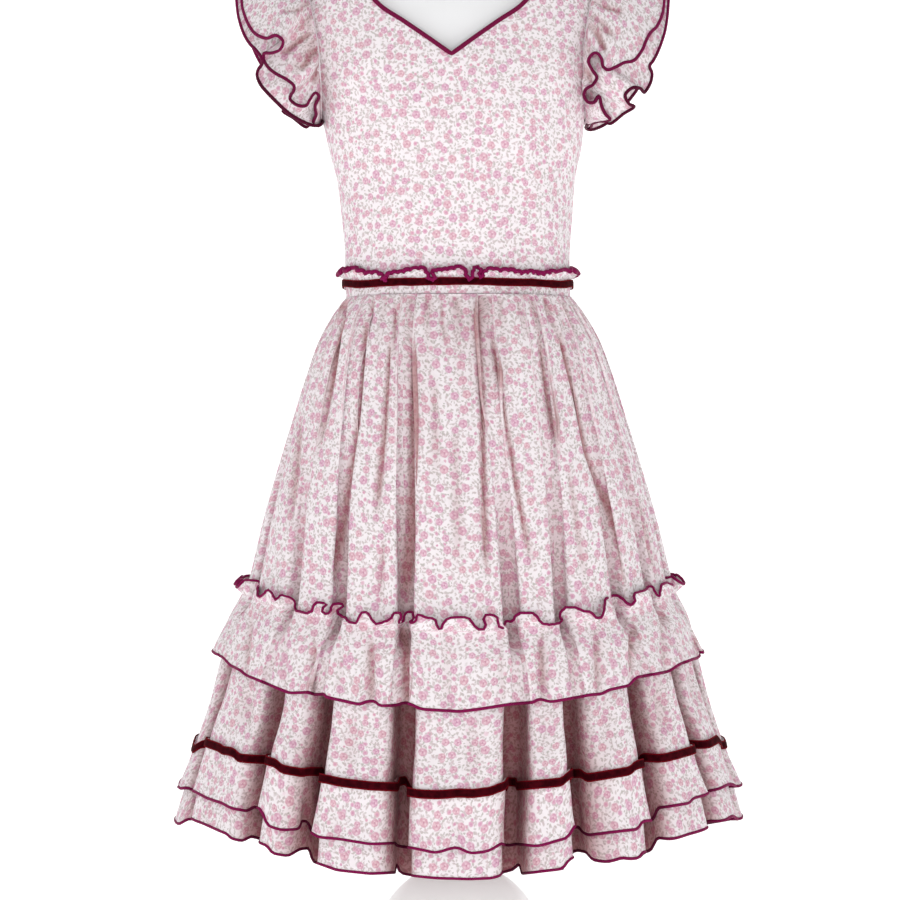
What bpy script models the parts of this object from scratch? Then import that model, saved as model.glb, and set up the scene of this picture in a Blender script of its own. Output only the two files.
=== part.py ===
"""Girl's flamenco dress on a limbless dress form.

The dress is built as it is cut and sewn: a bodice front, two bodice backs that
meet at a concealed centre back zip, a gathered upper skirt, a lower tier, three
gathered flounces, a waist frill, two velvet ribbons, a neck binding and two
layers of flounce at each armhole.  The form is a smooth torso on a pole with a
socket, a domed foot and a base plate.

Frame: +Z up, origin on the floor under the middle of the base plate, the front
of the dress faces -Y.  Tables are in millimetres and degrees.
"""
import bpy
import bmesh
import math
import numpy as np

for ob in list(bpy.data.objects):
    bpy.data.objects.remove(ob, do_unlink=True)

# ----------------------------------------------------------------- sizes (mm)
MM = 0.001
GAP = 0.3                # left between neighbouring pieces at a seam
CLOTH = 1.2              # wall of the printed cloth as modelled
RIBBON_T = 1.0           # velvet ribbon
BINDING_T = 1.1          # neck binding
RIBBON_W = 9.0           # velvet ribbon, both places
BINDING_W = 4.0          # neck binding, as seen
WAIST_SEAM = 651.0       # height of the waist seam
FORM_CLEAR = 4.0         # between the inside of the bodice and the form
HEM_LEVEL = 137.5        # bottom flounce, at the sides
PLATE_R, PLATE_T = 150.0, 8.0
DOME_R, DOME_Z = 84.5, 2.5     # ball that the domed foot is cut from
DOME_TOP_BORE = 30.0     # radius of the ring where the dome meets the socket
POLE_R = 10.0
SOCKET_R = 28.0
FORM_BOTTOM = 500.0
NECK_TOP = 1052.0

# Bodice, outer face.  z, half width, front and back half depth, sideways lean
BODY_COLS = ("z", "half_w", "front", "back", "lean", "centre_y")
BODY = (
    (560.0, 124.0, 98.0, 98.0, -0.5, 0.0),
    (651.0, 112.0, 86.5, 84.0, -1.0, 0.0),
    (690.0, 112.0, 87.0, 84.0, -2.0, 0.0),
    (730.0, 114.3, 89.0, 85.0, -2.5, 0.0),
    (765.0, 117.6, 91.0, 87.0, -3.0, 0.0),
    (800.0, 125.6, 94.0, 90.0, -4.0, 0.0),
    (832.0, 131.0, 96.0, 92.0, -5.5, 0.0),
    (862.0, 143.0, 95.5, 92.0, -7.0, 0.5),
    (900.0, 150.0, 91.0, 89.0, -8.0, 1.5),
    (935.0, 153.0, 84.0, 83.0, -8.5, 3.0),
    (962.0, 153.0, 74.0, 75.0, -8.5, 5.0),
    (980.0, 149.0, 64.0, 66.0, -8.5, 6.5),
    (990.0, 128.0, 60.0, 62.0, -8.5, 7.0),
    (1000.0, 98.0, 58.0, 60.0, -8.5, 7.5),
    (1012.0, 60.0, 54.0, 55.0, -8.5, 8.0),
)
BODY_POWER = 2.3         # roundness of the body sections

# Edges of the bodice pieces: height z and half width from the middle
V_NECK = ((882.0, 0.0), (899.0, 23.0), (915.0, 45.0), (932.0, 68.0),
          (955.0, 84.0), (978.0, 92.0), (1000.5, 96.0))
BACK_NECK = ((962.0, 0.0), (963.0, 25.0), (968.0, 50.0), (976.0, 72.0),
             (986.0, 86.0), (994.0, 93.0), (1000.5, 96.0))
ARMHOLE = ((832.0, 131.0), (838.0, 130.0), (852.0, 128.5), (880.0, 128.5),
           (915.0, 132.5), (948.0, 139.5), (970.0, 145.0), (981.5, 146.0))

# Skirt rings, by level (height at the side seams): height at centre front and
# back, half width, half depth, share of each fold's full depth
RING_COLS = ("level", "z_front", "half_w", "half_d", "fold", "power")
RING = (
    (650.6, 650.6, 114.0, 88.5, 0.04, 2.3),
    (636.0, 632.0, 125.0, 99.0, 0.07, 2.2),
    (605.0, 596.0, 142.0, 116.0, 0.13, 2.1),
    (530.0, 516.0, 167.0, 141.0, 0.23, 2.0),
    (440.0, 420.0, 194.0, 166.0, 0.33, 2.0),
    (359.0, 333.0, 214.0, 186.0, 0.42, 2.0),
    (335.0, 305.0, 222.0, 194.0, 0.56, 2.0),
    (301.0, 267.0, 235.5, 206.0, 0.72, 2.0),
    (260.0, 230.0, 246.0, 216.0, 0.84, 2.0),
    (213.5, 193.5, 260.5, 229.0, 0.94, 2.0),
    (204.5, 184.5, 263.0, 231.0, 0.95, 2.0),
    (169.0, 146.0, 272.0, 239.0, 0.98, 2.0),
    (137.5, 115.0, 281.0, 247.0, 1.00, 2.0),
)
SKIRT_TOP = 650.6
STITCH_1 = 359.0         # flounce 1 is gathered on at this level
HEADING_1 = 374.0        # top of its stand-up frill
EDGE_1 = 301.0
SEAM_2 = 209.0           # velvet ribbon, flounce 2 and flounce 3 meet here
EDGE_2 = 169.0

# Folds: angle from centre front (+ is to +X) at the waist, at flounce 1 and at
# the hem; full depth at the hem; half width of the mouth and of the bottom
FOLD_COLS = ("at_waist", "at_flounce", "at_hem", "depth", "mouth", "floor")
FOLDS = (
    (-164.0, -165.0, -166.0, 44.0, 13.0, 7.2),
    (-143.0, -144.0, -146.0, 50.0, 13.5, 7.5),
    (-122.0, -123.0, -125.0, 38.0, 12.5, 7.2),
    (-100.0, -102.0, -103.0, 42.0, 13.0, 7.5),
    (-78.0, -72.0, -70.0, 34.0, 12.0, 7.0),
    (-62.0, -49.0, -44.5, 38.0, 12.5, 7.2),
    (-45.0, -33.5, -31.5, 52.0, 13.5, 7.5),
    (-21.0, -14.0, -11.5, 58.0, 12.5, 7.2),
    (9.5, 13.5, 10.5, 54.0, 13.5, 7.5),
    (31.0, 27.5, 24.2, 46.0, 13.0, 7.2),
    (48.0, 46.0, 41.5, 44.0, 13.0, 7.2),
    (65.0, 62.0, 60.0, 36.0, 12.0, 7.0),
    (81.0, 79.0, 79.0, 44.0, 13.0, 7.2),
    (103.0, 104.0, 105.0, 38.0, 12.5, 7.2),
    (124.0, 125.0, 127.0, 50.0, 13.5, 7.5),
    (146.0, 147.0, 148.0, 36.0, 12.5, 7.2),
    (168.0, 168.0, 169.0, 46.0, 13.0, 7.2),
)
NARROW_LOBES = (5, 9)    # lobes after these folds need no column of their own
LOBE_EASE = 0.10         # how far a lobe's edges fall back, as a share of depth

# Flounce layers over the inner cloth, rows from the top: level, how far out,
# how much shallower and how much narrower the folds are
FLOUNCE_1 = ((374.0, 9.0, 5.0, 2.6), (359.0, 2.1, 0.0, 2.1),
             (335.0, 6.8, 8.0, 2.2), (301.0, 8.8, 12.0, 2.2))
FLOUNCE_2 = ((213.5, 1.9, 0.0, 2.0), (204.5, 1.9, 0.0, 2.0),
             (169.0, 7.5, 8.0, 2.2))
RIBBON_2 = (3.4, 0.0, 3.7)

# Sleeve flounce, free edge of the under layer: turn about the arm (0 top,
# 90 front, 180 underarm, 270 back), distance out, y, z
SLEEVE_COLS = ("turn", "out", "y", "z")
SLEEVE_EDGE = (
    (0.0, 208.0, 6.0, 974.0), (30.0, 215.0, -34.0, 955.0),
    (60.0, 211.0, -66.0, 918.0), (90.0, 199.0, -80.0, 882.0),
    (120.0, 184.0, -71.0, 853.0), (150.0, 162.0, -45.0, 834.0),
    (180.0, 145.0, 0.0, 824.0), (210.0, 161.0, 46.0, 836.0),
    (240.0, 182.0, 73.0, 858.0), (270.0, 197.0, 84.0, 888.0),
    (300.0, 209.0, 72.0, 924.0), (330.0, 214.0, 42.0, 957.0),
)
SLEEVE_BULGE = 9.0
SLEEVE_WAVE = 4.5        # ruffle, half height at the free edge
SLEEVE_WAVES = 8
UPPER_SHARE = 0.84       # length of the upper layer against the under one

ZIP_TOP = 946.0
ZIP_SKIRT_ROWS = (560.0, 596.0, 638.0)
PIN_R, EYE_R, EYE_OUT, EYE_W = 0.6, 0.9, 1.7, 3.4
ZIP_TAPE_W, ZIP_TAPE_T = 18.0, 0.7
PULL_L, PULL_W, PULL_T = 22.0, 6.0, 1.4


# ------------------------------------------------------------------- helpers
def interp(table, x, col):
    xs = [r[0] for r in table]
    ys = [r[col] for r in table]
    if xs[0] > xs[-1]:
        xs, ys = xs[::-1], ys[::-1]
    return float(np.interp(x, xs, ys))


def smooth(table, x, col):
    """Monotone cubic through a table's column."""
    rows = sorted((r[0], r[col]) for r in table)
    xs = [r[0] for r in rows]
    ys = [r[1] for r in rows]
    n = len(xs)
    if x <= xs[0]:
        return ys[0]
    if x >= xs[-1]:
        return ys[-1]
    d = [(ys[i + 1] - ys[i]) / (xs[i + 1] - xs[i]) for i in range(n - 1)]
    m = [d[0]] + [0.0 if d[i - 1] * d[i] <= 0 else
                  2 * d[i - 1] * d[i] / (d[i - 1] + d[i])
                  for i in range(1, n - 1)] + [d[-1]]
    i = max(j for j in range(n - 1) if xs[j] <= x)
    h = xs[i + 1] - xs[i]
    t = (x - xs[i]) / h
    return (ys[i] * (1 + 2 * t) * (1 - t) ** 2 + h * m[i] * t * (1 - t) ** 2
            + ys[i + 1] * t * t * (3 - 2 * t) + h * m[i + 1] * t * t * (t - 1))


def material(name, colour, rough, metal=0.0):
    m = bpy.data.materials.new(name)
    m.use_nodes = True
    b = m.node_tree.nodes["Principled BSDF"]
    b.inputs["Base Color"].default_value = (*colour, 1.0)
    b.inputs["Roughness"].default_value = rough
    b.inputs["Metallic"].default_value = metal
    m.diffuse_color = (*colour, 1.0)
    return m


PRINT = (0.86, 0.74, 0.76)
PLUM = (0.20, 0.01, 0.07)
VELVET = (0.10, 0.004, 0.01)
WHITE = (0.86, 0.86, 0.87)


def make(name, verts, faces, colour, rough=0.85, metal=0.0, parent=None,
         origin=(0.0, 0.0, 0.0)):
    """One object from millimetre points; its origin may sit on a joint."""
    me = bpy.data.meshes.new(name)
    o = np.array(origin)
    me.from_pydata([tuple((np.array(v) - o) * MM) for v in verts], [], faces)
    me.update()
    ob = bpy.data.objects.new(name, me)
    ob.location = tuple(o * MM)
    bpy.context.scene.collection.objects.link(ob)
    me.materials.append(material(name, colour, rough, metal))
    if parent is not None:
        ob.parent = parent
    return ob


def solidify(ob, thickness):
    """Wall of even thickness, inward from the outer face that was drawn."""
    s = ob.modifiers.new("wall", "SOLIDIFY")
    s.thickness = thickness * MM
    s.offset = -1.0
    s.use_even_offset = True
    s.use_quality_normals = True
    s.use_rim = True
    return ob


def grid(rows, closed=False, flip=False):
    """Vertices and quads of a list of rows of points."""
    n = len(rows[0])
    verts = [p for r in rows for p in r]
    faces = []
    for i in range(len(rows) - 1):
        for j in range(n if closed else n - 1):
            k = (j + 1) % n
            f = (i * n + j, i * n + k, (i + 1) * n + k, (i + 1) * n + j)
            faces.append(f[::-1] if flip else f)
    return verts, faces


def wall(name, outer, inner, colour, rough=0.85, closed=False):
    """Closed solid between an outer and an inner sheet of the same rows.  Both
    sheets' quads are split along the same diagonal, the shorter one."""
    n, m = len(outer[0]), len(outer)
    verts = [p for r in outer for p in r] + [p for r in inner for p in r]
    k0 = n * m
    faces = []
    last = n if closed else n - 1

    def apart(i, j):
        return float(np.linalg.norm(np.array(verts[i]) - np.array(verts[j])))

    for i in range(m - 1):
        for j in range(last):
            k = (j + 1) % n
            a, b, c, d = (i * n + j, (i + 1) * n + j, (i + 1) * n + k, i * n + k)
            for t in (((a, b, c), (a, c, d)) if apart(a, c) <= apart(b, d) else
                      ((a, b, d), (b, c, d))):
                faces.append(t)
                faces.append(tuple(v + k0 for v in t[::-1]))
    for j in range(last):
        k = (j + 1) % n
        faces.append((j, k, k + k0, j + k0))
        b = (m - 1) * n
        faces.append((b + k, b + j, b + j + k0, b + k + k0))
    if not closed:
        for i in range(m - 1):
            a, b = i * n, (i + 1) * n
            faces.append((b, a, a + k0, b + k0))
            a, b = a + n - 1, b + n - 1
            faces.append((a, b, b + k0, a + k0))
    ob = make(name, verts, faces, colour, rough)
    bm = bmesh.new()
    bm.from_mesh(ob.data)
    bmesh.ops.recalc_face_normals(bm, faces=bm.faces)
    bm.to_mesh(ob.data)
    bm.free()
    return ob


def turned(name, profile, sides, colour, rough, metal=0.0, centre=(0.0, 0.0)):
    """Solid of revolution; the profile (r, z) runs from the axis or bore, and
    closes on itself or on the axis."""
    verts, faces, ring = [], [], []
    for r, z in profile:
        if r < 1e-6:
            verts.append((centre[0], centre[1], z))
            ring.append([len(verts) - 1] * sides)
        else:
            first = len(verts)
            for k in range(sides):
                a = 2 * math.pi * k / sides
                verts.append((centre[0] + r * math.cos(a),
                              centre[1] + r * math.sin(a), z))
            ring.append(list(range(first, first + sides)))
    pairs = list(zip(ring, ring[1:]))
    if profile[0][0] > 1e-6 and profile[-1][0] > 1e-6:
        pairs.append((ring[-1], ring[0]))
    for a, b in pairs:
        for k in range(sides):
            q = []
            for v in (a[k], a[(k + 1) % sides], b[(k + 1) % sides], b[k]):
                if v not in q:
                    q.append(v)
            if len(q) > 2:
                faces.append(tuple(q))
    return make(name, verts, faces, colour, rough, metal)


# ---------------------------------------------------------------- bodice form
def body_point(z, phi, grow=0.0, lift=0.0):
    """Point of the body section at height z; phi 0 is centre front, 90 is the
    +X side, 180 centre back.  grow moves it out, level."""
    a = smooth(BODY, z, 1) + grow
    b = (smooth(BODY, z, 2) if math.cos(phi) >= 0 else smooth(BODY, z, 3)) + grow
    s, c = math.sin(phi), math.cos(phi)
    e = 2.0 / BODY_POWER
    return (smooth(BODY, z, 4) + a * math.copysign(abs(s) ** e, s),
            smooth(BODY, z, 5) - b * math.copysign(abs(c) ** e, c), z + lift)


def phi_of(z, half_w, grow=0.0):
    """Angle from centre front at which the section is half_w wide."""
    a = smooth(BODY, z, 1) + grow
    return math.asin(min(1.0, (min(half_w, a) / a)) ** (BODY_POWER / 2.0))


def edge_track(table, steps):
    """(z, phi) along an edge table, evenly spaced along the row index; the last
    row lies on the shoulder ridge."""
    out = []
    for i in range(steps + 1):
        f = i / steps * (len(table) - 1)
        k = min(int(f), len(table) - 2)
        t = f - k
        z = table[k][0] * (1 - t) + table[k + 1][0] * t
        w = table[k][1] * (1 - t) + table[k + 1][1] * t
        out.append((z, phi_of(z, w) if i < steps else math.pi / 2))
    return out


def seam_inset(z, gap):
    """Angle that leaves half a gap at the side seam."""
    return gap / 2 / (0.5 * (smooth(BODY, z, 2) + smooth(BODY, z, 3)))


def bodice_half(neck, back, cols, low_rows, strap_rows, split_gap=0.0):
    """Rows of (z, phi) for half a bodice panel on the +X side: the lower block
    from the waist to the lowest point of the neckline, then the strap."""
    z0 = neck[0][0]
    arm_z = ARMHOLE[0][0]
    strap_arm = list(ARMHOLE)
    rows = []
    if z0 > arm_z:
        # armhole starts below the neckline: the lower block's side edge runs
        # up the side seam and on along the armhole
        side = [(WAIST_SEAM, math.pi / 2)]
        heights = list(np.linspace(WAIST_SEAM, arm_z, low_rows - 2))[1:]
        side += [(h, math.pi / 2) for h in heights]
        lows = [r for r in strap_arm if r[0] < z0 - 6.0][1:]
        pick = [lows[len(lows) // 2], lows[-1]] if back else [lows[-1]]
        for r in pick:
            side.append((r[0], phi_of(r[0], r[1])))
        join = (z0, phi_of(z0, interp(strap_arm, z0, 1)))
        side.append(join)
        centre = np.linspace(WAIST_SEAM, z0, len(side))
        # centre rows follow the side rows' heights, eased
        for k, (sz, sp) in enumerate(side):
            row = []
            for j in range(cols + 1):
                u = j / cols
                cz = sz * 0.55 + centre[k] * 0.45 if 0 < k < len(side) - 1 else centre[k]
                z = cz * (1 - u ** 1.5) + sz * u ** 1.5
                phi = sp * u
                row.append((z, phi))
            rows.append(row)
    upper = [join] + [(r[0], phi_of(r[0], r[1])) for r in strap_arm if r[0] > z0 + 4]
    n_edge = edge_track(neck, strap_rows)
    # armhole track with the same number of rows
    dist = [0.0]
    for p, q in zip(upper, upper[1:]):
        dist.append(dist[-1] + math.hypot(q[0] - p[0], 100 * (q[1] - p[1])))
    a_edge = []
    for i in range(strap_rows + 1):
        d = dist[-1] * i / strap_rows
        a_edge.append((float(np.interp(d, dist, [p[0] for p in upper])),
                       float(np.interp(d, dist, [p[1] for p in upper]))))
    a_edge[-1] = (ARMHOLE[-1][0], math.pi / 2)
    straps = []
    for i in range(1, strap_rows + 1):
        row = []
        for j in range(cols + 1):
            u = j / cols
            row.append((n_edge[i][0] * (1 - u) + a_edge[i][0] * u,
                        n_edge[i][1] * (1 - u) + a_edge[i][1] * u))
        straps.append(row)
    return rows, straps


def panel_points(rows, mirror, back, ridge_row):
    """Points of (z, phi) rows; keeps clear of the side and shoulder seams."""
    out = []
    for i, row in enumerate(rows):
        pts = []
        for (z, phi) in row:
            on_ridge = abs(phi - math.pi / 2) < 1e-6
            f = phi
            if on_ridge:
                f = phi - seam_inset(z, GAP + 0.1) * (1.6 if i == ridge_row else 1.0)
            ang = math.pi - f if back else f
            if mirror:
                ang = -ang
            pts.append(body_point(z, ang))
        out.append(pts)
    return out


PANEL = {}               # panel edge points, for what is sewn to them


def bodice_front():
    cols, strap = 8, 5
    low, straps = bodice_half(V_NECK, False, cols, 7, strap)
    verts, faces = [], []
    key = {}

    def add(p, tag):
        if tag not in key:
            key[tag] = len(verts)
            verts.append(p)
        return key[tag]

    for side in (1, -1):
        rows = low + straps
        pts = panel_points(rows, side < 0, False, len(rows) - 1)
        if side > 0:
            PANEL["front"] = (pts, len(low))
        idx = []
        for i, row in enumerate(pts):
            line = []
            for j, p in enumerate(row):
                shared = j == 0 and i < len(low)
                line.append(add(p, ("c", i) if shared else (side, i, j)))
            idx.append(line)
        for i in range(len(rows) - 1):
            for j in range(cols):
                f = (idx[i][j], idx[i][j + 1], idx[i + 1][j + 1], idx[i + 1][j])
                faces.append(f if side > 0 else f[::-1])
    return solidify(make("bodice_front", verts, faces, PRINT), CLOTH)


def bodice_back(name, mirror):
    cols, strap = 7, 4
    low, straps = bodice_half(BACK_NECK, True, cols, 8, strap)
    rows = low + straps
    pts = panel_points(rows, mirror, True, len(rows) - 1)
    if not mirror:
        PANEL["back"] = (pts, len(low))
    # centre back: half the zip's slit
    for row in pts[:len(low)]:
        x, y, z = row[0]
        row[0] = (x + (-1 if mirror else 1) * (GAP / 2 + 0.05), y, z)
    v, f = grid(pts, flip=not mirror)
    return solidify(make(name, v, f, PRINT), CLOTH)


# ---------------------------------------------------------------- skirt rings
def fold_angle(fold, level):
    return float(np.interp(level, (HEM_LEVEL, STITCH_1, SKIRT_TOP),
                           (fold[2], fold[1], fold[0])))


def ring_xy(a, b, power, theta, inset):
    """Point of the ring at theta (0 front), moved in by inset."""
    s, c = math.sin(theta), math.cos(theta)
    e = 2.0 / power
    x, y = a * math.copysign(abs(s) ** e, s), -b * math.copysign(abs(c) ** e, c)
    nx = math.copysign(abs(x / a) ** (power - 1), x) / a
    ny = math.copysign(abs(y / b) ** (power - 1), y) / b
    n = math.hypot(nx, ny)
    return x - inset * nx / n, y - inset * ny / n


def ring(level, grow=0.0, shallower=0.0, narrower=0.0):
    """Closed loop of columns at a level: for each fold its mouth and floor
    corners, and a column on each wide lobe between folds."""
    a, b, power = (interp(RING, level, k) for k in (2, 3, 5))
    zf, share = interp(RING, level, 1), interp(RING, level, 4)
    marks = []
    for f in FOLDS:
        th = math.radians(fold_angle(f, level))
        rho = math.hypot(a * math.cos(th), b * math.sin(th))
        depth = max(f[3] * share - shallower, f[3] * share * 0.25)
        tight = 0.55 + 0.45 * min(1.0, share / 0.9)
        marks.append((th, rho, depth, max(f[4] * tight - narrower, 3.0),
                      max(f[5] * tight - narrower, 1.4)))
    cols = []
    for k, (th, rho, depth, mouth, floor) in enumerate(marks):
        ease = LOBE_EASE * depth
        # widths hold at the fold's own depth, where the ring is tighter
        deep = rho * (1.0 - (depth - grow) * a * b / rho ** 3)
        cols.append((th - mouth / rho, ease))
        cols.append((th - floor / deep, depth))
        cols.append((th + floor / deep, depth))
        cols.append((th + mouth / rho, ease))
        nxt = marks[(k + 1) % len(marks)]
        start = th + mouth / rho
        end = nxt[0] - nxt[3] / nxt[1] + (2 * math.pi if k == len(marks) - 1 else 0)
        if k not in NARROW_LOBES:
            cols.append((0.5 * (start + end), 0.0))
    pts = []
    for th, inset in cols:
        x, y = ring_xy(a, b, power, th, inset - grow)
        c = math.cos(th)
        pts.append([x, y, level + (zf - level) * c * c])
    return pts


def push(pts, d):
    """Moves a closed loop outward by d, level, keeping its corners mitred."""
    n = len(pts)
    out = []
    for i in range(n):
        p, q, r = (np.array(pts[j % n][:2]) for j in (i - 1, i, i + 1))
        e1, e2 = q - p, r - q
        n1 = np.array((e1[1], -e1[0])) / np.linalg.norm(e1)
        n2 = np.array((e2[1], -e2[0])) / np.linalg.norm(e2)
        m = n1 + n2
        m /= np.linalg.norm(m)
        k = d / max(0.45, float(m @ n1))
        out.append([q[0] + m[0] * k, q[1] + m[1] * k, pts[i][2]])
    return out


def cut_arc(loops, start_deg, end_deg, gap=GAP + 0.1, ref=None):
    """Part of each closed loop between two angles, cut so that neighbours stay
    a gap apart.  Every loop keeps the same columns."""
    ref = ref or loops[0]
    ang = [math.degrees(math.atan2(p[0], -p[1])) for p in ref]
    span = (end_deg - start_deg) % 360 or 360
    n = len(ref)
    inside = [0.2 < (v - start_deg) % 360 < span - 0.2 for v in ang]
    turn = [(v - start_deg) % 360 for v in ang]
    first = min((i for i in range(n) if inside[i]
                 and (not inside[i - 1] or turn[i - 1] - turn[i] > 180)),
                key=lambda i: turn[i])
    keep = [first]
    while len(keep) < n:
        k = (keep[-1] + 1) % n
        if not inside[k] or turn[keep[-1]] - turn[k] > 180:
            break
        keep.append(k)
    last = keep[-1]
    out = []
    for lp in loops:
        def crossing(i, j, deg):
            """Point where the loop's edge i-j meets the vertical half plane."""
            d = np.array((math.sin(math.radians(deg)), -math.cos(math.radians(deg))))
            side = np.array((-d[1], d[0]))
            p, q = np.array(lp[i]), np.array(lp[j])
            sp, sq = float(p[:2] @ side), float(q[:2] @ side)
            t = min(0.97, max(0.03, sp / (sp - sq))) if abs(sp - sq) > 1e-9 else 0.5
            return p + (q - p) * t
        def ease(pt, other):
            v = np.array(other) - pt
            return list(pt + v / np.linalg.norm(v) * gap / 2)
        a = ease(crossing((first - 1) % n, first, start_deg), lp[first])
        b = ease(crossing(last, (last + 1) % n, end_deg), lp[last])
        out.append([a] + [lp[i] for i in keep] + [b])
    return out


def cloth_band(name, loops, arc, colour=PRINT, thick=CLOTH, rough=0.85):
    """Wall through (outer, inner) loop pairs listed from the top down."""
    outer = cut_arc([p[0] for p in loops], *arc) if arc else [p[0] for p in loops]
    inner = (cut_arc([p[1] for p in loops], *arc, ref=loops[0][0]) if arc
             else [p[1] for p in loops])
    return wall(name, outer, inner, colour, rough, closed=arc is None)


def pair(level, grow=0.0, shallower=0.0, narrower=0.0, thick=CLOTH):
    """Outer and inner face of a layer at a level."""
    base = ring(level, grow, shallower, narrower)
    return base, push(base, -thick)


FRONT, BACK = (-90.0, 90.0), (90.0, 270.0)
BACK_LEFT, BACK_RIGHT = (90.0, 180.0), (180.0, 270.0)


def skirt():
    levels = (SKIRT_TOP, 605.0, 530.0, 440.0, STITCH_1)
    loops = [pair(v) for v in levels]
    cloth_band("skirt_front", loops, FRONT)
    cloth_band("skirt_back_left", loops, BACK_LEFT)
    cloth_band("skirt_back_right", loops, BACK_RIGHT)
    tier = [pair(v) for v in (STITCH_1 - 0.6, 301.0, SEAM_2)]
    cloth_band("skirt_tier_front", tier, FRONT)
    cloth_band("skirt_tier_back", tier, BACK)
    low = [pair(v) for v in (SEAM_2 - 0.6, HEM_LEVEL)]
    cloth_band("flounce_3_front", low, FRONT)
    cloth_band("flounce_3_back", low, BACK)
    one = [pair(*row) for row in FLOUNCE_1]
    cloth_band("flounce_1_front", one, FRONT)
    cloth_band("flounce_1_back", one, BACK)
    two = [pair(*row) for row in FLOUNCE_2]
    cloth_band("flounce_2_front", two, FRONT)
    cloth_band("flounce_2_back", two, BACK)
    velvet = [pair(v, *RIBBON_2, RIBBON_T)
              for v in (SEAM_2 + RIBBON_W / 2, SEAM_2 - RIBBON_W / 2)]
    cloth_band("hem_ribbon", velvet, None, VELVET, RIBBON_T, 0.95)


# ------------------------------------------------------------- waist trimmings
def waist_loop(z, grow, wave=0.0, waves=0, cols=42):
    pts = []
    for i in range(cols):
        phi = 2 * math.pi * i / cols
        g = grow + wave * math.sin(phi * waves + 0.6 * math.sin(3 * phi))
        zz = z + 3.0 * math.sin(phi) ** 2
        x, y, _ = body_point(min(zz, 690.0), phi, g)
        pts.append([x, y, zz])
    return pts


def waist_trims():
    def both(z, grow, wave=0.0, waves=0, thick=CLOTH):
        return (waist_loop(z, grow, wave, waves),
                waist_loop(z, grow - thick, wave, waves))
    # frill strip: lies flat on the bodice under the ribbon, then stands out
    arc = (180.2, 179.8)
    cloth_band("waist_frill", [both(676.0, 7.0, 2.2, 14), both(668.0, 1.8),
                               both(658.5, 1.8)], arc)
    g = 1.8 + GAP + RIBBON_T + 0.1
    cloth_band("waist_ribbon", [both(666.5, g, thick=RIBBON_T),
                                both(657.5, g, thick=RIBBON_T)], arc, VELVET,
               RIBBON_T, 0.95)


def unit(v):
    return v / np.linalg.norm(v)


def neck_binding():
    """Flat strip on the neckline's edge, made from the panels' own edge points
    moved out: up the back, over the shoulder, down the V and back again."""
    f_rows, fn = PANEL["front"]
    b_rows, bn = PANEL["back"]
    half = [np.array(b_rows[i][0]) for i in range(bn - 1, len(b_rows) - 1)]
    top = (np.array(b_rows[-1][0]) + np.array(f_rows[-1][0])) / 2
    half.append(top)
    half += [np.array(f_rows[i][0]) for i in range(len(f_rows) - 2, fn - 1, -1)]
    line = half + [np.array(f_rows[fn - 1][0])] + [flip_x(p) for p in half[::-1]]
    k_top = len(b_rows) - bn
    n = len(line)
    normals = []
    for i, p in enumerate(line):
        j = i if i <= n // 2 else n - 1 - i
        q = line[j]
        if j == k_top:
            normals.append(None)
            continue
        rear = j < k_top
        half_w = q[0] - smooth(BODY, q[2], 4)
        ph = phi_of(q[2], max(half_w, 0.0))
        ph = math.pi - ph if rear else ph
        d = [np.array(body_point(q[2] + dz, ph + dp)) for dz, dp in
             ((1.0, 0.0), (-1.0, 0.0), (0.0, 0.01), (0.0, -0.01))]
        nr = unit(np.cross(d[2] - d[3], d[0] - d[1]))
        if nr @ (q - np.array((-8.5, 5.0, q[2] - 20.0))) < 0:
            nr = -nr
        if i > n // 2:
            nr[0] = -nr[0]
        normals.append(nr)
    for i in (k_top, n - 1 - k_top):
        normals[i] = unit(normals[i - 1] + normals[i + 1])
    outer, inner = [[], []], [[], []]
    for i, (p, nr) in enumerate(zip(line, normals)):
        t = unit(line[min(i + 1, n - 1)] - line[max(i - 1, 0)])
        if i in (0, n - 1):
            t = np.array((1.0, 0.0, 0.0))
        d = unit(np.cross(nr, t))
        centre = np.array((-8.5, 8.0, 1030.0))
        if d @ (p - centre) < 0:
            d = -d
        lift = GAP + 1.3
        for side, w in ((0, 0.0), (1, BINDING_W)):
            q = p + d * w
            outer[side].append(q + nr * (lift + BINDING_T))
            inner[side].append(q + nr * lift)
    wall("neck_binding", outer, inner, PLUM, 0.7)


def flip_x(p, direction=False):
    """Mirror about the leaning middle of the bodice."""
    q = np.array(p, dtype=float)
    q[0] = -q[0] if direction else 2 * smooth(BODY, q[2], 4) - q[0]
    return q


# -------------------------------------------------------------------- sleeves
def armhole_loop():
    """Points on the armhole's edge with their turn about the arm, 0 at the
    shoulder, by way of the front, the underarm and the back; they are the
    panels' own edge points and the points midway between them."""
    f_rows, _ = PANEL["front"]
    b_rows, _ = PANEL["back"]
    front = [np.array(r[-1]) for r in f_rows if r[-1][2] > ARMHOLE[0][0] - 1.0]
    back = [np.array(r[-1]) for r in b_rows if r[-1][2] > ARMHOLE[0][0] - 1.0]
    top = (front[-1] + back[-1]) / 2
    low = (front[0] + back[0]) / 2
    legs = [[top] + front[-2:0:-1] + [low], [low] + back[1:-1] + [top]]
    out = []
    for k, leg in enumerate(legs):
        dense = []
        for p, q in zip(leg, leg[1:]):
            cuts = max(1, round(float(np.linalg.norm(q - p)) / 14.0))
            dense += [p + (q - p) * i / cuts for i in range(cuts)]
        dense.append(leg[-1])
        dist = [0.0]
        for p, q in zip(dense, dense[1:]):
            dist.append(dist[-1] + float(np.linalg.norm(q - p)))
        out += [(180.0 * k + 180.0 * d / dist[-1], p)
                for d, p in zip(dist[:-1], dense[:-1])]
    return out


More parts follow.
